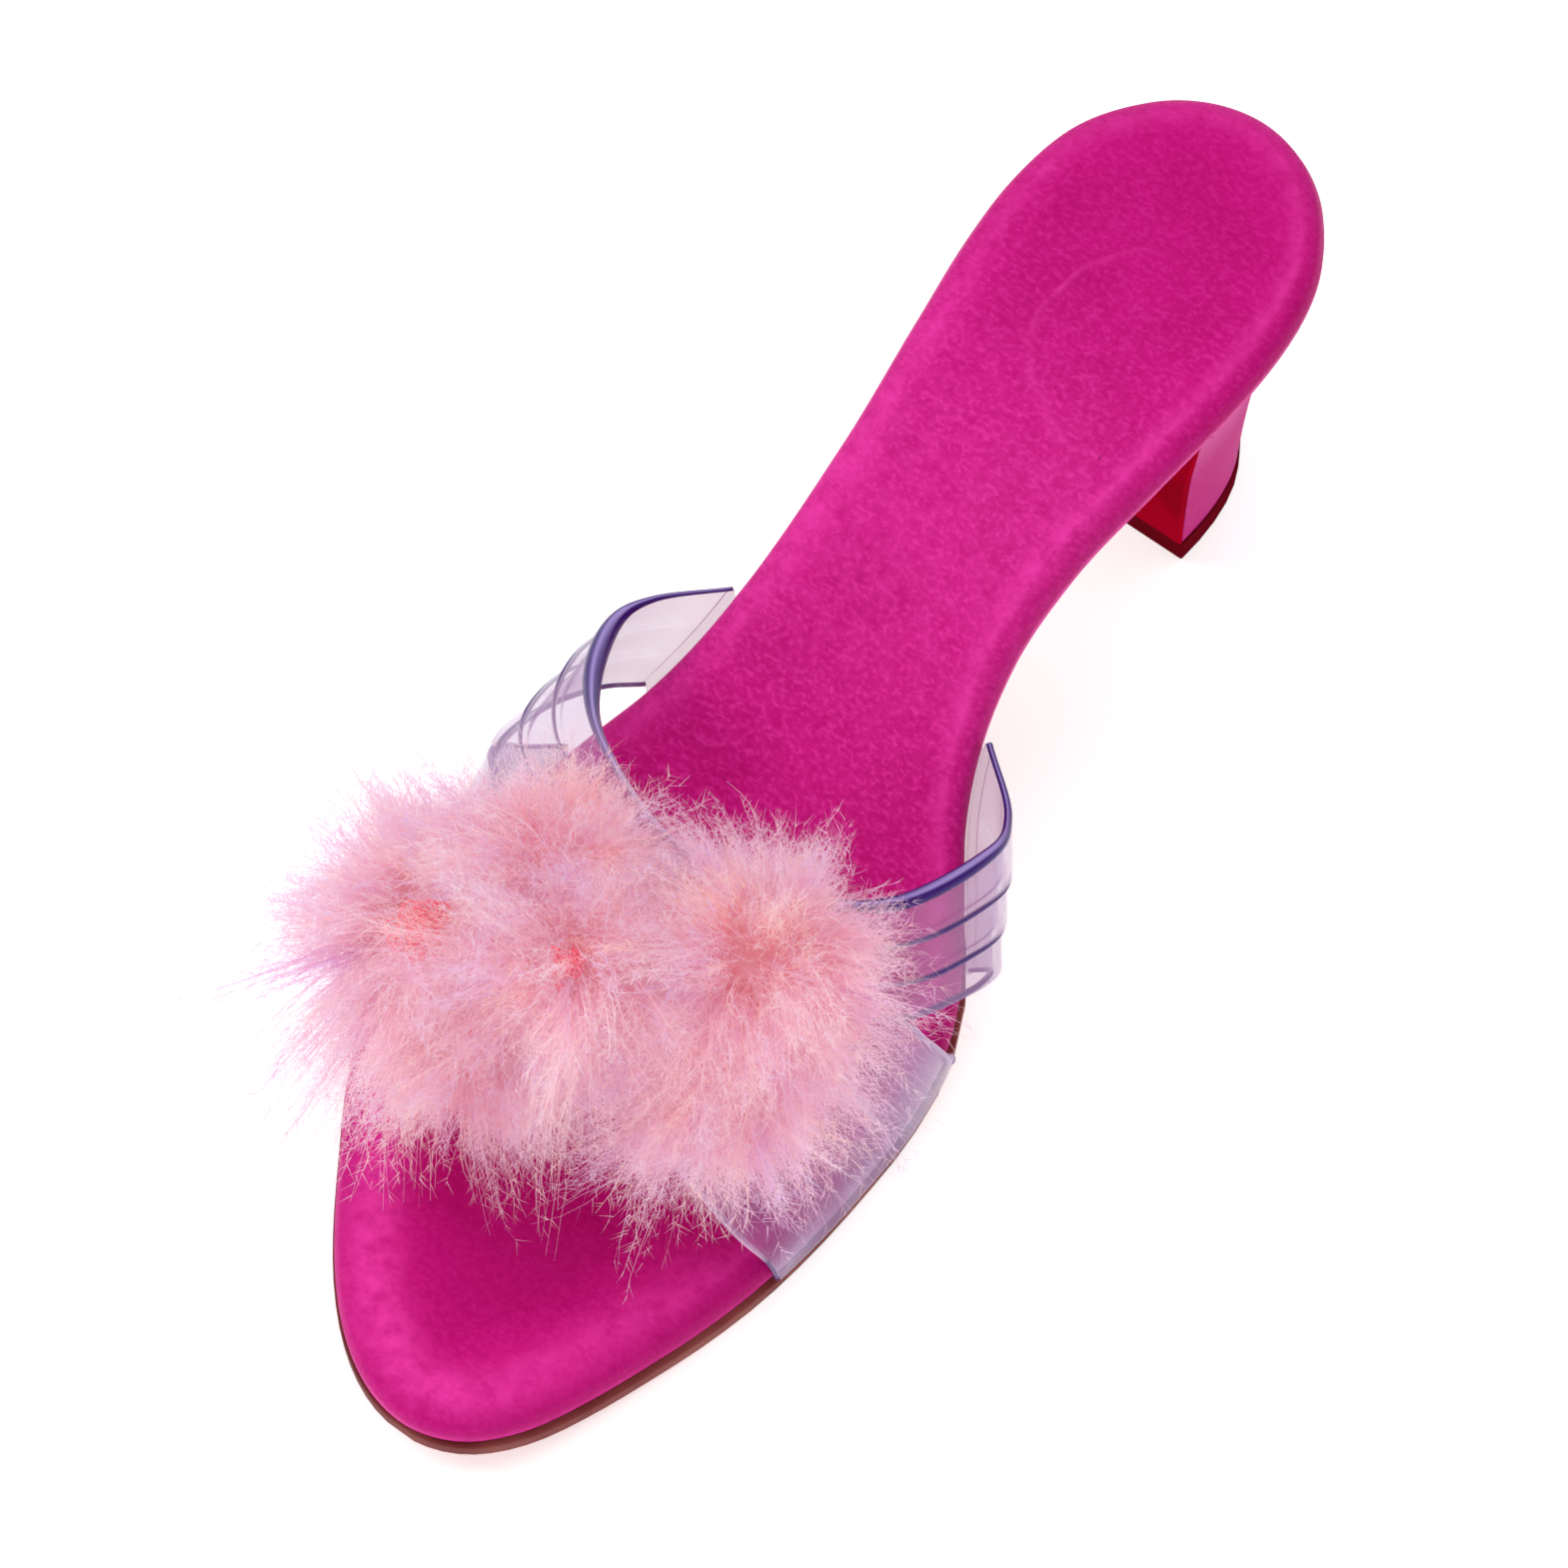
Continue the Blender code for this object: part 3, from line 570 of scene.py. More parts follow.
def world_points(piece):
    points = np.empty(len(piece.data.vertices) * 3, np.float32)
    piece.data.vertices.foreach_get("co", points)
    return points.reshape(-1, 3).astype(float)


def distance_in(plan):
    """How far plan points lie in from the footbed's outline."""
    turns = np.linspace(0, math.pi, 500)
    rim = np.concatenate([edge_point(turns, 1), edge_point(turns, -1)])
    nearest = np.empty(len(plan))
    for start in range(0, len(plan), 2000):
        part = plan[start:start + 2000]
        nearest[start:start + 2000] = np.sqrt(
            ((part[:, None] - rim[None]) ** 2).sum(axis=2)).min(axis=1)
    return nearest


def pad_rise(distance):
    """Rise of the padding above the footbed's side, from the distance in."""
    return ROLL_RISE * curve_at(PAD[:, 0], PAD[:, 1], distance / ROLL_WIDTH)


def seat_creases(plan):
    """Faint curved crease where the cover is pulled over the heel seat."""
    centre = np.array([0.0105, 0.0455])
    offset = (plan - centre) / np.array([0.0183, 0.0178])
    ring = np.hypot(offset[:, 0], offset[:, 1])
    angle = np.arctan2(offset[:, 1], offset[:, 0])
    wander = 0.020 * np.sin(5.0 * angle) + 0.012 * np.sin(11.0 * angle + 1.0)
    faint = np.clip(0.35 - np.cos(angle + 0.5), 0, 1)
    ridge = np.exp(-((ring - 1.0 - wander) / 0.030) ** 2)
    ridge = ridge - 0.6 * np.exp(-((ring - 1.07 - wander) / 0.045) ** 2)
    return CREASE_RISE * ridge * faint


def paint_satin_light_and_shade(piece):
    """Painted highlights and painted shade on the footbed's satin, and where its pile is
    mottled.
    """
    world = world_points(piece)
    plan = np.stack([world[:, 0], ORIGIN_RUN - world[:, 1]], axis=1)
    inset = distance_in(plan)
    run = plan[:, 1] / LENGTH
    medial = np.clip((plan[:, 0] - edge_x(np.clip(plan[:, 1], 0, LENGTH), -1)) / 0.05, 0, 1)
    forefoot = np.clip((run - 0.74) / 0.10, 0, 1)
    # Painted highlights where light falls: the toe band, the medial ridge, the waist, the
    # lateral edge, the lower side wall and the seat's creases.
    toe_band = bell(inset, 0.0062, 0.0042) * forefoot * (1.0 - 0.45 * medial)
    ridge = bell(inset, 0.0044, 0.0009) * (0.25 + 0.75 * medial) * (1 - forefoot)
    waist = bell(run, 0.36, 0.13)
    lateral_edge = bell(inset, 0.0030, 0.0030) * (1 - medial) * (1 - forefoot)
    side = world[:, 2] < stacked(plan[:, 1], FOOTBED_BASE + 0.5 * SIDE)
    crease = np.clip(seat_creases(plan) / CREASE_RISE, 0, 1)
    light = 1.05 * toe_band + 0.75 * ridge + 0.42 * waist + 0.30 * lateral_edge + 0.7 * side
    light = light + 0.45 * crease
    # Painted shade: the rolled edge, most on the medial side, and the toe and seat hollows.
    roll = np.clip(1 - inset / 0.0034, 0, 1) * (0.15 + 0.60 * medial) * (1 - 0.25 * forefoot)
    toe_hollow = bell(run, 0.86, 0.09) * np.clip((inset - 0.011) / 0.008, 0, 1)
    seat_hollow = bell(run, 0.14, 0.13) * np.clip((inset - 0.006) / 0.006, 0, 1)
    dark = 0.85 * roll * ~side + 0.38 * toe_hollow + 0.14 * seat_hollow
    set_attribute(piece, "painted_highlight", np.clip(light, 0, 0.9))
    set_attribute(piece, "shade", np.clip(dark, 0, 0.9))
    set_attribute(piece, "mottled", np.clip(0.25 + 0.9 * bell(run, 0.38, 0.20), 0, 1))


def make_footbed():
    """Satin over the padded board: rings up the side and over the roll, a grid within."""
    stations = 420
    across = 90
    turns = np.linspace(0, math.pi, stations)
    insets = ROLL_WIDTH * np.array((0.0, 0.02, 0.06, 0.12, 0.20, 0.32, 0.46, 0.62, 0.80, 1.0))

    def loop(out):
        medial = edge_point(turns, 1, np.full(stations, out))
        lateral = edge_point(turns[1:-1], -1, np.full(stations - 2, out))
        return np.concatenate([medial, lateral[::-1]])

    tuck = 0.0006
    rings = [placed(loop(-tuck), stacked(loop(-tuck)[:, 1], FOOTBED_BASE))]
    rings.append(placed(loop(0.0), stacked(loop(0.0)[:, 1], FOOTBED_BASE + tuck)))
    for inset in insets:
        plan = loop(-inset)
        rise = pad_rise(np.full(len(plan), inset))
        rings.append(placed(plan, stacked(plan[:, 1], SIDE_TOP + rise)))
    count = len(rings[0])
    points = np.concatenate(rings)
    faces = grid_faces(len(rings), count, wrap=True)
    inner = loop(-insets[-1])
    medial = inner[1:stations - 1]
    lateral = inner[:stations - 1:-1]
    share = np.linspace(0, 1, across)[None, :, None]
    middle = medial[:, None] * (1 - share) + lateral[:, None] * share
    flat = middle.reshape(-1, 2)
    rise = pad_rise(distance_in(flat)) + seat_creases(flat)
    top = placed(flat, stacked(flat[:, 1], SIDE_TOP + rise))
    start = len(points)
    points = np.concatenate([points, top])
    faces += grid_faces(stations - 2, across, start)
    last_ring = (len(rings) - 1) * count
    for tip, row in ((last_ring, 0), (last_ring + stations - 1, stations - 3)):
        for c in range(across - 1):
            faces.append((tip, start + row * across + c, start + row * across + c + 1))
    for k in range(1, stations - 2):
        faces.append((k, k + 1, count - k - 1, count - k))
    faces.append((stations - 2, stations - 1, count - stations + 2))
    faces.append((0, 1, count - 1))
    material = satin("satin", PINK_DEEP, PINK, PINK_LIGHT, PINK_PAINTED_SHADE, 0.10, 0.65)
    piece = make_piece("satin_footbed", points, faces, material, "footbed", sharp=60)
    paint_satin_light_and_shade(piece)


def leg(run, side):
    """Way of the vinyl from under the footbed, out and up its side."""
    turn = turn_of(run)
    half = WALL / 2
    seam = OUTSOLE + 1.5 * GAP + half
    points = []
    for out, thickness in (
        (-LASTING, seam),
        (-WALL * 0.4, seam),
        (VINYL_GAP + half - WALL * 0.2, seam + WALL * 0.2),
        (VINYL_GAP + half, seam + WALL),
        (VINYL_GAP + half, SIDE_TOP),
    ):
        x, point_run = edge_point(turn, side, out)
        points.append((x, point_run, float(stacked(point_run, thickness))))
    return points


def hoop(edge_a, edge_b, ends_a, ends_b, share, samples=110):
    """One line of the vamp from the medial sole edge to the lateral one."""
    rows = np.array(edge_a) * (1 - share) + np.array(edge_b) * share
    run = rows[:, 1] * LENGTH
    height = stacked(run, FOOTBED_TOP) + rows[:, 2] * VAMP_HEIGHT
    rows = np.stack([rows[:, 0] * BALL_WIDTH, run, height], axis=1)
    ends = (np.array(ends_a) * (1 - share) + np.array(ends_b) * share) * LENGTH
    medial, lateral = leg(ends[0], 1), leg(ends[1], -1)
    arch = np.concatenate([[medial[-1]], rows, [lateral[-1]]])
    curve = curve_at(np.arange(len(arch)), arch, np.linspace(0, len(arch) - 1, samples))
    line = np.concatenate([medial[:-1], curve, lateral[-2::-1]])
    return placed(line[:, :2], line[:, 2])


BANDS = (
    (COLLAR, REAR_INNER, BAND_ENDS[0], BAND_ENDS[1]),
    (FRONT_INNER, TOE_EDGE, BAND_ENDS[2], BAND_ENDS[3]),
)


def outward(sheet):
    """Normals of a sheet, pointing up at the crown."""
    normals = np.cross(np.gradient(sheet, axis=1), np.gradient(sheet, axis=0))
    normals /= np.linalg.norm(normals, axis=2, keepdims=True) + 1e-12
    crown = normals[:, sheet.shape[1] // 2, 2].mean()
    return normals if crown > 0 else -normals


def band_sheet(band):
    """Middle surface of a band with its pleats raised, and its outward normals."""
    # Across one pleat: place as a share of its width, rise as a share of PLEAT.
    strip = ((0.0, 0.0), (0.2, 0.22), (0.4, 0.45), (0.6, 0.68), (0.8, 0.9), (0.93, 1.0))
    shares = [(p + at) / PLEATS for p in range(PLEATS) for at, _ in strip] + [1.0]
    steps = [height for _ in range(PLEATS) for _, height in strip] + [0.0]
    sheet = np.array([hoop(*band, share) for share in shares])
    count = sheet.shape[1]
    normals = outward(sheet)
    fade = np.clip((np.arange(count) - 4) / 10, 0, 1)
    fade = np.minimum(fade, fade[::-1])
    lift = np.array(steps)[:, None] * fade[None, :] * PLEAT
    return sheet + normals * lift[:, :, None], normals


def make_vamp_bands(material):
    """Both bands, each a sheet with its outer and inner face and its edges closed."""
    parts = []
    for band in BANDS:
        sheet, normals = band_sheet(band)
        rows, columns = sheet.shape[:2]
        outer = sheet + normals * WALL / 2
        inner = sheet - normals * WALL / 2
        ring = np.concatenate([outer, inner[::-1]])
        faces = grid_faces(2 * rows, columns)
        last = (2 * rows - 1) * columns
        for c in range(columns - 1):
            faces.append((last + c, last + c + 1, c + 1, c))
        for c in (0, columns - 1):
            for r in range(rows - 1):
                mate = 2 * rows - 1 - r
                faces.append((r * columns + c, (r + 1) * columns + c,
                              (mate - 1) * columns + c, mate * columns + c))
        parts.append((ring.reshape(-1, 3), faces))
    points, faces = joined(parts)
    make_piece("vamp_bands", points, faces, material, "vamp", 50)


def tube(path, radii, sides):
    """Skin of a tube along a path, closed at its ends, as (points, faces)."""
    along = np.gradient(path, axis=0)
    along /= np.linalg.norm(along, axis=1, keepdims=True)
    side = np.cross(along, np.array([0.2, 0.3, 1.0]))
    side /= np.linalg.norm(side, axis=1, keepdims=True)
    other = np.cross(along, side)
    angles = np.arange(sides) * 2 * math.pi / sides
    cosines, sines = np.cos(angles)[None, :, None], np.sin(angles)[None, :, None]
    ring = side[:, None] * cosines + other[:, None] * sines
    points = path[:, None] + ring * radii[:, None, None]
    faces = grid_faces(len(path), sides, wrap=True)
    faces.append(tuple(range(sides)))
    faces.append(tuple(range((len(path) - 1) * sides, len(path) * sides)))
    return points.reshape(-1, 3), faces


def painted_top_highlight(path, skin, sides):
    """How far each point of a tube's skin lies on its top line, where a pale highlight is
    painted.
    """
    spokes = skin.reshape(len(path), sides, 3) - path[:, None]
    high = spokes[:, :, 2] / spokes[:, :, 2].max(axis=1, keepdims=True)
    return 0.85 * np.clip((high - 0.925) / 0.07, 0, 1).ravel()


def fold_look(number, p, line, normals):
    """Radius, darkness and opacity along one fold, from where and how it lies. Where the
    darkness drops, the fold shows its pale painted highlight.
    """
    at = np.linspace(0, 1, len(line))
    from_side = np.minimum(at, 1 - at)
    lift = line[:, 2] - stacked(ORIGIN_RUN - line[:, 1], FOOTBED_TOP)
    bend = bell(from_side, 0.27, 0.11)
    lateral = at > 0.5
    steep = 1 - np.clip((normals[:, 2] - np.where(lateral, 0.55, 0.38)) / 0.34, 0, 1)
    if number == 0 and p == 0:
        thin = np.where(lateral, 0.00034, 0.00050)
        swell = np.where(lateral, 0.00135, 0.00080)
        radius = thin + swell * bend + 0.00012 * np.clip((from_side - 0.35) / 0.1, 0, 1)
        depth = np.clip(1.30 - (from_side / 0.47) ** 4, 0.40, 1)
        return radius, depth, 0.96 + 0 * at
    if p in (0, PLEATS):
        strong = 0.85 if number == 0 or p == PLEATS else 0.45
        corner = bell(at, 0.035, 0.022) if number == 1 and p == 0 else 0.0
        radius = 0.00036 + 0.00022 * bend + 0.00062 * corner
        depth = np.maximum(strong * steep, 0.8 * corner)
        return radius, depth, np.maximum(0.62 + 0.32 * steep, 0.95 * corner)
    above = np.clip((lift - 0.006) / 0.008, 0, 1)
    radius = 0.00020 + 0.00026 * steep * bend
    return radius, steep * (0.95 if number == 0 else 0.45), above * (0.60 + 0.38 * steep)


def make_vamp_folds(material):
    """Rounded folds along the collar, the pleats and the bands' other edges."""
    parts = []
    looks = []
    sides = 16
    keep = slice(4, -4)  # without the lasting under the footbed
    for number, band in enumerate(BANDS):
        for p in range(PLEATS + 1):
            share = p / PLEATS
            line = hoop(*band, share, samples=150)
            beside = hoop(*band, share + (0.02 if p < PLEATS else -0.02), samples=150)
            normals = outward(np.stack([line, beside]))[0]
            radius, depth, shown = fold_look(number, p, line, normals)
            lift = 0.0 if p in (0, PLEATS) else PLEAT * 0.75 + WALL * 0.45
            path = line[keep] + normals[keep] * lift
            skin, quads = tube(path, radius[keep], sides)
            parts.append((skin, quads))
            look = np.repeat(np.stack([depth, shown], axis=1)[keep], sides, axis=0)
            # Painted highlight: a pale line along the top of the thick collar fold.
            highlight_stripe = float(number == 0 and p == 0) * painted_top_highlight(path, skin, sides)
            looks.append(np.column_stack([look, highlight_stripe]))
    points, faces = joined(parts)
    piece = make_piece("vamp_folds", points, faces, material, None, outward=False)
    for name, values in zip(("depth", "shown", "highlight_stripe"), np.concatenate(looks).T):
        set_attribute(piece, name, values)


def bevelled_copy(name, node, width, changes=()):
    """A finer copy of a solid, with its sharp edges rounded and then changed."""
    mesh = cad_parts[node].data.copy()
    mesh.materials.clear()
    shape = bmesh.new()
    shape.from_mesh(mesh)
    bmesh.ops.remove_doubles(shape, verts=shape.verts, dist=2e-6)
    sharp = [edge for edge in shape.edges
             if len(edge.link_faces) == 2 and edge.calc_face_angle() > math.radians(38)]
    bmesh.ops.bevel(shape, geom=sharp, offset=width, segments=3, profile=0.6,
                    affect="EDGES", clamp_overlap=True)
    shape.to_mesh(mesh)
    shape.free()
    for change in changes:
        change(mesh)
    mesh.shade_smooth()
    mesh.set_sharp_from_angle(angle=math.radians(50))
    piece = bpy.data.objects.new(name, mesh)
    bpy.context.scene.collection.objects.link(piece)
    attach(piece, "root")
    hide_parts(node)
    return piece


def widen_sole(mesh):
    """Lets the sole's edge show a little more along the medial forefoot."""
    for vertex in mesh.vertices:
        run = (ORIGIN_RUN - vertex.co.y) / LENGTH
        edge = float(edge_x(min(max(run, 0.0), 1.0) * LENGTH, 1))
        near = np.clip((vertex.co.x - edge + 0.003) / 0.003, 0, 1)
        vertex.co.x += SOLE_MARGIN * near * np.clip((run - 0.50) / 0.04, 0, 1)


def skive_flap(mesh):
    """Thins the flap on the heel's breast towards its foot, as leather is there."""
    for vertex in mesh.vertices:
        out = ORIGIN_RUN - vertex.co.y - BREAST_FOOT - GAP
        low = min(max((SKIVE_TOP - vertex.co.z) / SKIVE_DROP, 0.0), 1.0)
        if 0 < out < 2.0 * OUTSOLE:
            vertex.co.y += SKIVE * low * out


def make_sole():
    """Leather sole: maroon at its edge and top margin, crimson beneath and on the flap."""
    piece = bevelled_copy("sole_leather", "outsole", 0.0006, (widen_sole, skive_flap))
    mesh = piece.data
    mesh.materials.append(leather("sole_edge", MAROON, MAROON_LIGHT, 0.50, 0.08))
    mesh.materials.append(leather("sole_face", CRIMSON_DEEP, CRIMSON, 0.55, 0.0))
    toe = ORIGIN_RUN - 0.74 * LENGTH
    shank = ORIGIN_RUN - 1.25 * BREAST_TOP
    for face in mesh.polygons:
        centre = face.center
        upright = abs(face.normal.z) < 0.75
        on_side = abs(face.normal.x) > 0.55
        edge = upright and (on_side or centre.y < toe) and centre.y < shank
        face.material_index = 0 if edge or face.normal.z > 0.5 else 1


def make_heel():
    """Satin-covered block: the seat's outline at the top, the heel tip's at the foot."""
    drops = np.linspace(0, 1, 34)
    gone = curve_at(HEEL_SECTIONS[:, 0], HEEL_SECTIONS[:, 1:], drops)
    turns = np.linspace(0, float(turn_of(BREAST_TOP)), 40)
    inset = np.full(len(turns), -GAP)
    seat = np.concatenate([edge_point(turns, 1, inset), edge_point(turns, -1, inset)[:0:-1]])
    share = np.maximum(seat[:, 1], 0) / BREAST_TOP
    seat_half = float(edge_x(BREAST_TOP, 1)) - GAP
    foot = TIP_THICKNESS + GAP
    seat_top = stacked(share * BREAST_TOP, OUTSOLE)
    rings = []
    for drop, (wide, back, breast) in zip(drops, gone):
        width = 1 + wide * (FOOT_WIDTH / 2 / seat_half - 1)
        back_run = GAP + back * (HEEL_BACK_FOOT - GAP)
        breast_run = BREAST_TOP + breast * (BREAST_FOOT - BREAST_TOP)
        plan = np.stack([seat[:, 0] * width, back_run + share * (breast_run - back_run)], axis=1)
        rings.append(placed(plan, foot + (seat_top - foot) * (1 - drop)))
    count = len(seat)
    faces = grid_faces(len(rings), count, wrap=True)
    for start in (0, (len(rings) - 1) * count):
        faces.append((start, start + 1, start + count - 1))
        for k in range(1, (count - 1) // 2):
            faces.append((start + k, start + k + 1, start + count - k - 1, start + count - k))
    material = satin("heel_satin", PINK_DEEP, HEEL_PINK, HEEL_LIGHT, PINK_PAINTED_SHADE, 0.02, 0.12)
    piece = make_piece("heel_cover", np.concatenate(rings), faces, material,
                       "heel_block", sharp=45)
    world = world_points(piece)
    top = world[:, 2].max()
    # Painted highlight: the heel's satin lighter towards its top.
    set_attribute(piece, "painted_highlight", np.clip((world[:, 2] / top - 0.45) * 1.3, 0, 0.6))
    set_attribute(piece, "shade", np.zeros(len(world)))
    set_attribute(piece, "mottled", np.full(len(world), 0.15))


def core_places():
    """Place of each core, the reach of its down and how much further that hangs."""
    places = []
    for across, run, height, reach, hang in CORES:
        run *= LENGTH
        lift = float(stacked(run, FOOTBED_TOP)) + height * VAMP_HEIGHT
        places.append((np.array([across * BALL_WIDTH, ORIGIN_RUN - run, lift]), reach, hang))
    return places


def vamp_tree():
    """Search tree over the bands' middle surface, which the down stays outside of."""
    parts = []
    for band in BANDS:
        sheet = band_sheet(band)[0][::3, 4:-4:4]
        parts.append((sheet.reshape(-1, 3), grid_faces(*sheet.shape[:2])))
    points, faces = joined(parts)
    return BVHTree.FromPolygons([Vector(p) for p in points], faces)


def clear_of_shoe(strands, tree, away):
    """Moves strand points out of the vamp and off the footbed."""
    flat = strands.reshape(-1, 3)
    origin = np.repeat(away, strands.shape[1], axis=0)
    for k, point in enumerate(flat):
        hit, normal, _, distance = tree.find_nearest(Vector(point), 0.014)
        if hit is None:
            continue
        outside = np.array(normal)
        if outside @ (origin[k] - np.array(hit)) < 0:
            outside = -outside
        depth = outside @ (point - np.array(hit))
        if depth < VINYL_ROOM:
            flat[k] = point + outside * (VINYL_ROOM - depth)
    floor = stacked(ORIGIN_RUN - flat[:, 1], FOOTBED_TOP) + SATIN_ROOM
    flat[:, 2] = np.maximum(flat[:, 2], floor)
    return flat.reshape(strands.shape)


def clumped(rng, roots, aims, lengths, droop, bend, owner, shares, spread):
    """Barbs that follow their tuft's own curve, opening out and closing again a little."""
    t = np.linspace(0, 1, SEGMENTS + 1)[None, :, None]
    side = np.cross(aims, rng.normal(size=aims.shape))
    side /= np.linalg.norm(side, axis=1, keepdims=True)
    along = t * shares[:, None, None]
    reach = lengths[owner][:, None, None]
    lines = roots[owner][:, None] + aims[owner][:, None] * (reach * along)
    lines = lines + side[owner][:, None] * (bend[owner][:, None, None] * reach * along ** 2)
    lines[:, :, 2] -= (droop[owner][:, None, None] * reach * along ** 2)[:, :, 0]
    offsets = rng.normal(size=(len(owner), 3)) * spread
    opening = 0.55 + 1.0 * t - 0.70 * t ** 2
    lines = lines + offsets[:, None] * opening
    phase = rng.uniform(0, 2 * math.pi, (len(owner), 1, 3))
    waves = rng.uniform(3.0, 7.0, (len(owner), 1, 3))
    return lines + 0.0011 * t * np.sin(phase + waves * t)


def ribbons(lines, widths, rng):
    """Flat tapering strips along lines, as points and quads."""
    count, steps = lines.shape[:2]
    along = np.gradient(lines, axis=1)
    spin = rng.normal(size=(count, 1, 3))
    across = np.cross(along, spin)
    across /= np.linalg.norm(across, axis=2, keepdims=True) + 1e-12
    taper = np.linspace(1.0, 0.15, steps)[None, :, None]
    half = across * (widths[:, None, None] * taper / 2)
    points = np.stack([lines - half, lines + half], axis=2).reshape(-1, 3)
    a = (np.arange(count) * steps * 2)[:, None] + (np.arange(steps - 1) * 2)[None, :]
    quads = np.stack([a, a + 1, a + 3, a + 2], axis=2).reshape(-1, 4)
    return points, quads


def barbules(lines, rng):
    """Short single-triangle side hairs on the outer part of each strand."""
    count, steps = lines.shape[:2]
    owner = np.repeat(np.arange(count), BARBULES)
    at = rng.uniform(0.25, 0.98, len(owner)) * (steps - 1)
    low = np.minimum(at.astype(int), steps - 2)
    part = (at - low)[:, None]
    start = lines[owner, low] * (1 - part) + lines[owner, low + 1] * part
    along = lines[owner, low + 1] - lines[owner, low]
    along /= np.linalg.norm(along, axis=1, keepdims=True) + 1e-12
    side = np.cross(along, rng.normal(size=along.shape))
    side /= np.linalg.norm(side, axis=1, keepdims=True) + 1e-12
    aim = along * 0.75 + side * 0.8
    reach = BARBULE_LENGTH * rng.uniform(0.5, 1.2, len(owner))[:, None]
    tip = start + aim * reach
    across = np.cross(aim, rng.normal(size=aim.shape))
    across /= np.linalg.norm(across, axis=1, keepdims=True) + 1e-12
    points = np.stack([start - across * 0.00005, start + across * 0.00005, tip], axis=1)
    faces = np.arange(len(owner) * 3).reshape(-1, 3)
    return points.reshape(-1, 3), faces, owner, at / (steps - 1)


def strand_colours(t, warmth, lilac):
    """Salmon at the root, pale pink at the tip, shifted a little from strand to strand. The
    deeper root is partly the down's own tone, partly painted shade between the clumps.
    """
    t = t[:, None]
    root, middle, tip = (np.array(c) for c in (DOWN_ROOT, DOWN_MIDDLE, DOWN_TIP))
    low = root * (1 - t / 0.4) + middle * (t / 0.4)
    high = middle * (1 - (t - 0.4) / 0.6) + tip * ((t - 0.4) / 0.6)
    colour = np.where(t < 0.4, low, high)
    colour = colour * (1 + 0.10 * warmth[:, None] * np.array([0.2, 1.0, 0.6]))
    return colour * (1 + 0.10 * lilac[:, None] * np.array([-0.4, -0.3, 0.8]))


def make_down(number, place, reach, hang, tree, material):
    """Tufts of soft barbs that radiate from one core."""
    rng = np.random.default_rng(SEED + number)
    k = np.arange(TUFTS)
    level = 1 - 1.55 * (k + 0.5) / TUFTS
    angle = k * math.pi * (3 - math.sqrt(5)) + number
    flat = np.sqrt(1 - level ** 2)
    aims = np.stack([flat * np.cos(angle), flat * np.sin(angle), level], axis=1)
    aims += rng.normal(scale=0.20, size=aims.shape)
    aims /= np.linalg.norm(aims, axis=1, keepdims=True)
    brushed = aims @ BRUSH
    lengths = reach * (1.0 + 0.32 * np.minimum(brushed, 0) + hang * np.maximum(brushed, 0))
    lengths = lengths * rng.uniform(0.66, 1.20, TUFTS)
    roots = place + aims * CORE_RADIUS * 0.75
    droop = rng.uniform(0.10, 0.38, TUFTS)
    bend = rng.normal(scale=0.22, size=TUFTS)
    owner = np.repeat(k, BARBS)
    shares = rng.uniform(0.30, 1.0, len(owner)) ** 0.8
    lengths = lengths - CORE_RADIUS * 0.75
    lines = clumped(rng, roots, aims, lengths, droop, bend, owner, shares, 0.0024)
    lines = clear_of_shoe(lines, tree, roots[owner] + aims[owner] * 0.02)
    points, quads = ribbons(lines, rng.uniform(0.00010, 0.00022, len(owner)), rng)
    hairs, faces, hair_owner, hair_t = barbules(lines, rng)
    warmth = 0.7 * rng.normal(size=len(owner)) + 0.7 * rng.normal(size=TUFTS)[owner]
    lilac = 0.7 * rng.normal(size=len(owner)) + 0.7 * rng.normal(size=TUFTS)[owner] + 0.4
    t = np.repeat(np.tile(np.linspace(0, 1, SEGMENTS + 1), len(owner)), 2)
    strand = np.repeat(np.arange(len(owner)), 2 * (SEGMENTS + 1))
    colours = strand_colours(t, warmth[strand], lilac[strand])
    hair_strand = np.repeat(hair_owner, 3)
    hair_colours = strand_colours(np.repeat(hair_t, 3), warmth[hair_strand], lilac[hair_strand])
    all_faces = quads.tolist() + (faces + len(points)).tolist()
    piece = make_piece(f"marabou_down_{number}", np.concatenate([points, hairs]), all_faces,
                       material, None, outward=False)
    tint = np.concatenate([colours, hair_colours])
    tint = np.clip(np.concatenate([tint, np.ones((len(tint), 1))], axis=1), 0, 1)
    set_attribute(piece, "tint", tint, "FLOAT_COLOR")


def make_marabou(material):
    """The puffs of down and the lumpy cores that they grow from."""
    tree = vamp_tree()
    parts = []
    for number, (place, reach, hang) in enumerate(core_places()):
        make_down(number, place, reach, hang, tree, material)
        ball = bmesh.new()
        bmesh.ops.create_icosphere(ball, subdivisions=4, radius=CORE_RADIUS)
        own = np.array([v.co[:] for v in ball.verts])
        lumps = 1 + 0.10 * np.sin(own * 900 + number).sum(axis=1, keepdims=True) / 3
        own_faces = [[v.index for v in face.verts] for face in ball.faces]
        parts.append((place + own * lumps, own_faces))
        ball.free()
    points, faces = joined(parts)
    core = make_piece("marabou_core", points, faces, material, "marabou",
                      outward=False)
    tint = np.tile([*DOWN_ROOT, 1.0], (len(points), 1))
    set_attribute(core, "tint", tint, "FLOAT_COLOR")


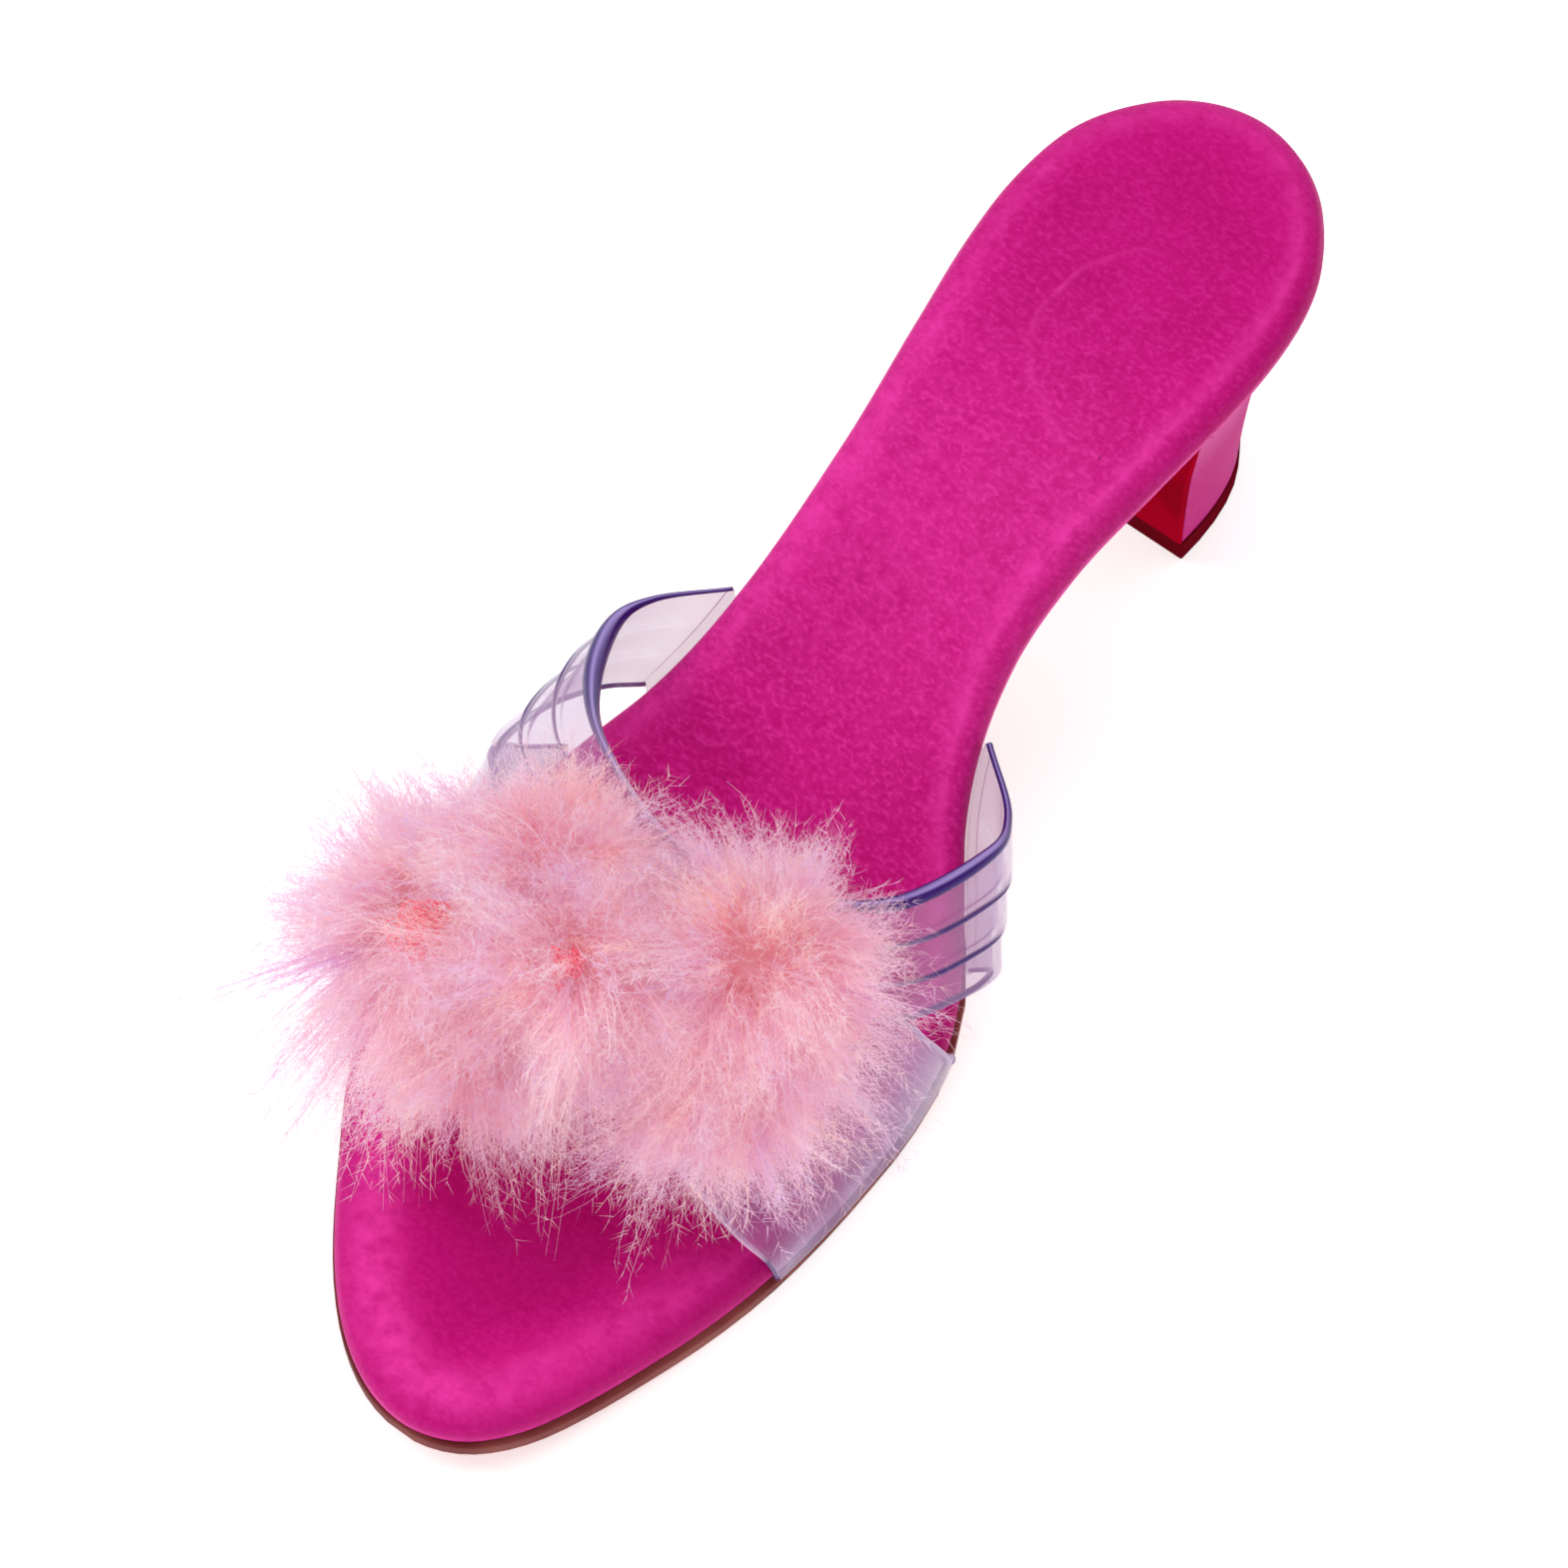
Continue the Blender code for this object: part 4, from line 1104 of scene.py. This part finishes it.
def rosette(rng, place, facing, size, loops):
    """Tangle of curled quill ends, as tube points and faces."""
    steps = 22
    curls = []
    side = np.cross(facing, np.array([0.3, 0.1, 1.0]))
    side /= np.linalg.norm(side)
    other = np.cross(facing, side)
    for _ in range(loops):
        centre = place + (side * rng.normal() + other * rng.normal()) * size * 0.42
        turns = np.linspace(0, rng.uniform(3.5, 7.0), steps) + rng.uniform(0, 6.3)
        radius = size * rng.uniform(0.16, 0.42)
        closing = np.linspace(1.0, 0.45, steps)[:, None]
        curl = side * np.cos(turns)[:, None] + other * np.sin(turns)[:, None]
        rise = facing * (np.sin(turns * 1.7) * size * 0.16)[:, None]
        path = centre + curl * radius * closing + rise
        curls.append(tube(path, np.full(steps, QUILL_RADIUS), 5))
    return joined(curls)


def make_quills(material):
    """Curled quill ends that show in the heart of each puff."""
    rng = np.random.default_rng(SEED)
    facing = np.array([0.22, -0.48, 0.85])
    facing /= np.linalg.norm(facing)
    places = core_places()
    rosettes = []
    for number, share, size, loops in QUILLS:
        place, reach, _ = places[number]
        spot = place + facing * (reach * share)
        rosettes.append(rosette(rng, spot, facing, size, loops))
    points, faces = joined(rosettes)
    make_piece("marabou_quills", points, faces, material, None, outward=False)


def make_stage():
    """Pale floor, soft studio light and the camera at the photograph's angle."""
    scene = bpy.context.scene
    bpy.ops.mesh.primitive_plane_add(size=8)
    floor = bpy.context.object
    floor.name = "floor"
    paper = Nodes("paper")
    paper.put(Base_Color=(0.90, 0.90, 0.90), Roughness=0.9, Specular_IOR_Level=0.0,
              Emission_Color=(1.0, 1.0, 1.0), Emission_Strength=0.50)
    floor.data.materials.append(paper.material)
    middle = Vector((0.0, -0.09, 0.03))
    lights = (
        ("key", (-0.64, -0.34, 0.72), 1.3, 0.7, 5.0),
        ("top", (0.1, 0.3, 1.0), 1.6, 1.2, 5.0),
        ("fill", (0.9, -0.35, 0.55), 1.6, 0.8, 2.5),
    )
    for name, direction, distance, size, power in lights:
        light = bpy.data.lights.new(name, "AREA")
        light.shape = "DISK"
        light.size = size
        light.energy = power
        lamp = bpy.data.objects.new(name, light)
        aim = Vector(direction).normalized()
        lamp.matrix_world = (Matrix.Translation(middle + aim * distance)
                             @ aim.to_track_quat("Z", "Y").to_matrix().to_4x4())
        scene.collection.objects.link(lamp)
    world = bpy.data.worlds.new("studio")
    scene.world = world
    world.use_nodes = True
    background = world.node_tree.nodes["Background"]
    background.inputs["Color"].default_value = (1.0, 1.0, 1.0, 1.0)
    background.inputs["Strength"].default_value = 0.60
    scene.view_settings.view_transform = "Standard"
    azimuth, elevation = math.radians(CAMERA_AZIMUTH), math.radians(CAMERA_ELEVATION)
    back = Vector((math.sin(azimuth) * math.cos(elevation),
                   -math.cos(azimuth) * math.cos(elevation), math.sin(elevation)))
    right = Vector((math.cos(azimuth), math.sin(azimuth), 0.0))
    camera = bpy.data.cameras.new("camera")
    camera.sensor_width = 36.0
    camera.lens = CAMERA_LENS
    camera.clip_end = 20
    view = bpy.data.objects.new("camera", camera)
    turn = Matrix((right, back.cross(right), back)).transposed().to_4x4()
    place = Vector(CAMERA_TARGET) + back * CAMERA_DISTANCE
    view.matrix_world = Matrix.Translation(place) @ turn
    scene.collection.objects.link(view)
    scene.camera = view


def main():
    make_stage()
    make_footbed()
    make_vamp_bands(clear_vinyl())
    make_vamp_folds(folded_vinyl())
    make_sole()
    make_heel()
    lift = bevelled_copy("heel_lift", "heel_tip", 0.0005)
    lift.data.materials.append(leather("lift", LIFT, LIFT_LIGHT, 0.55, 0.0))
    make_marabou(down_material())
    # Painted light: the quills give off a faint light in their own colour.
    make_quills(leather("quill", QUILL, QUILL_LIGHT, 0.6, 0.05, painted_glow=0.22))


main()
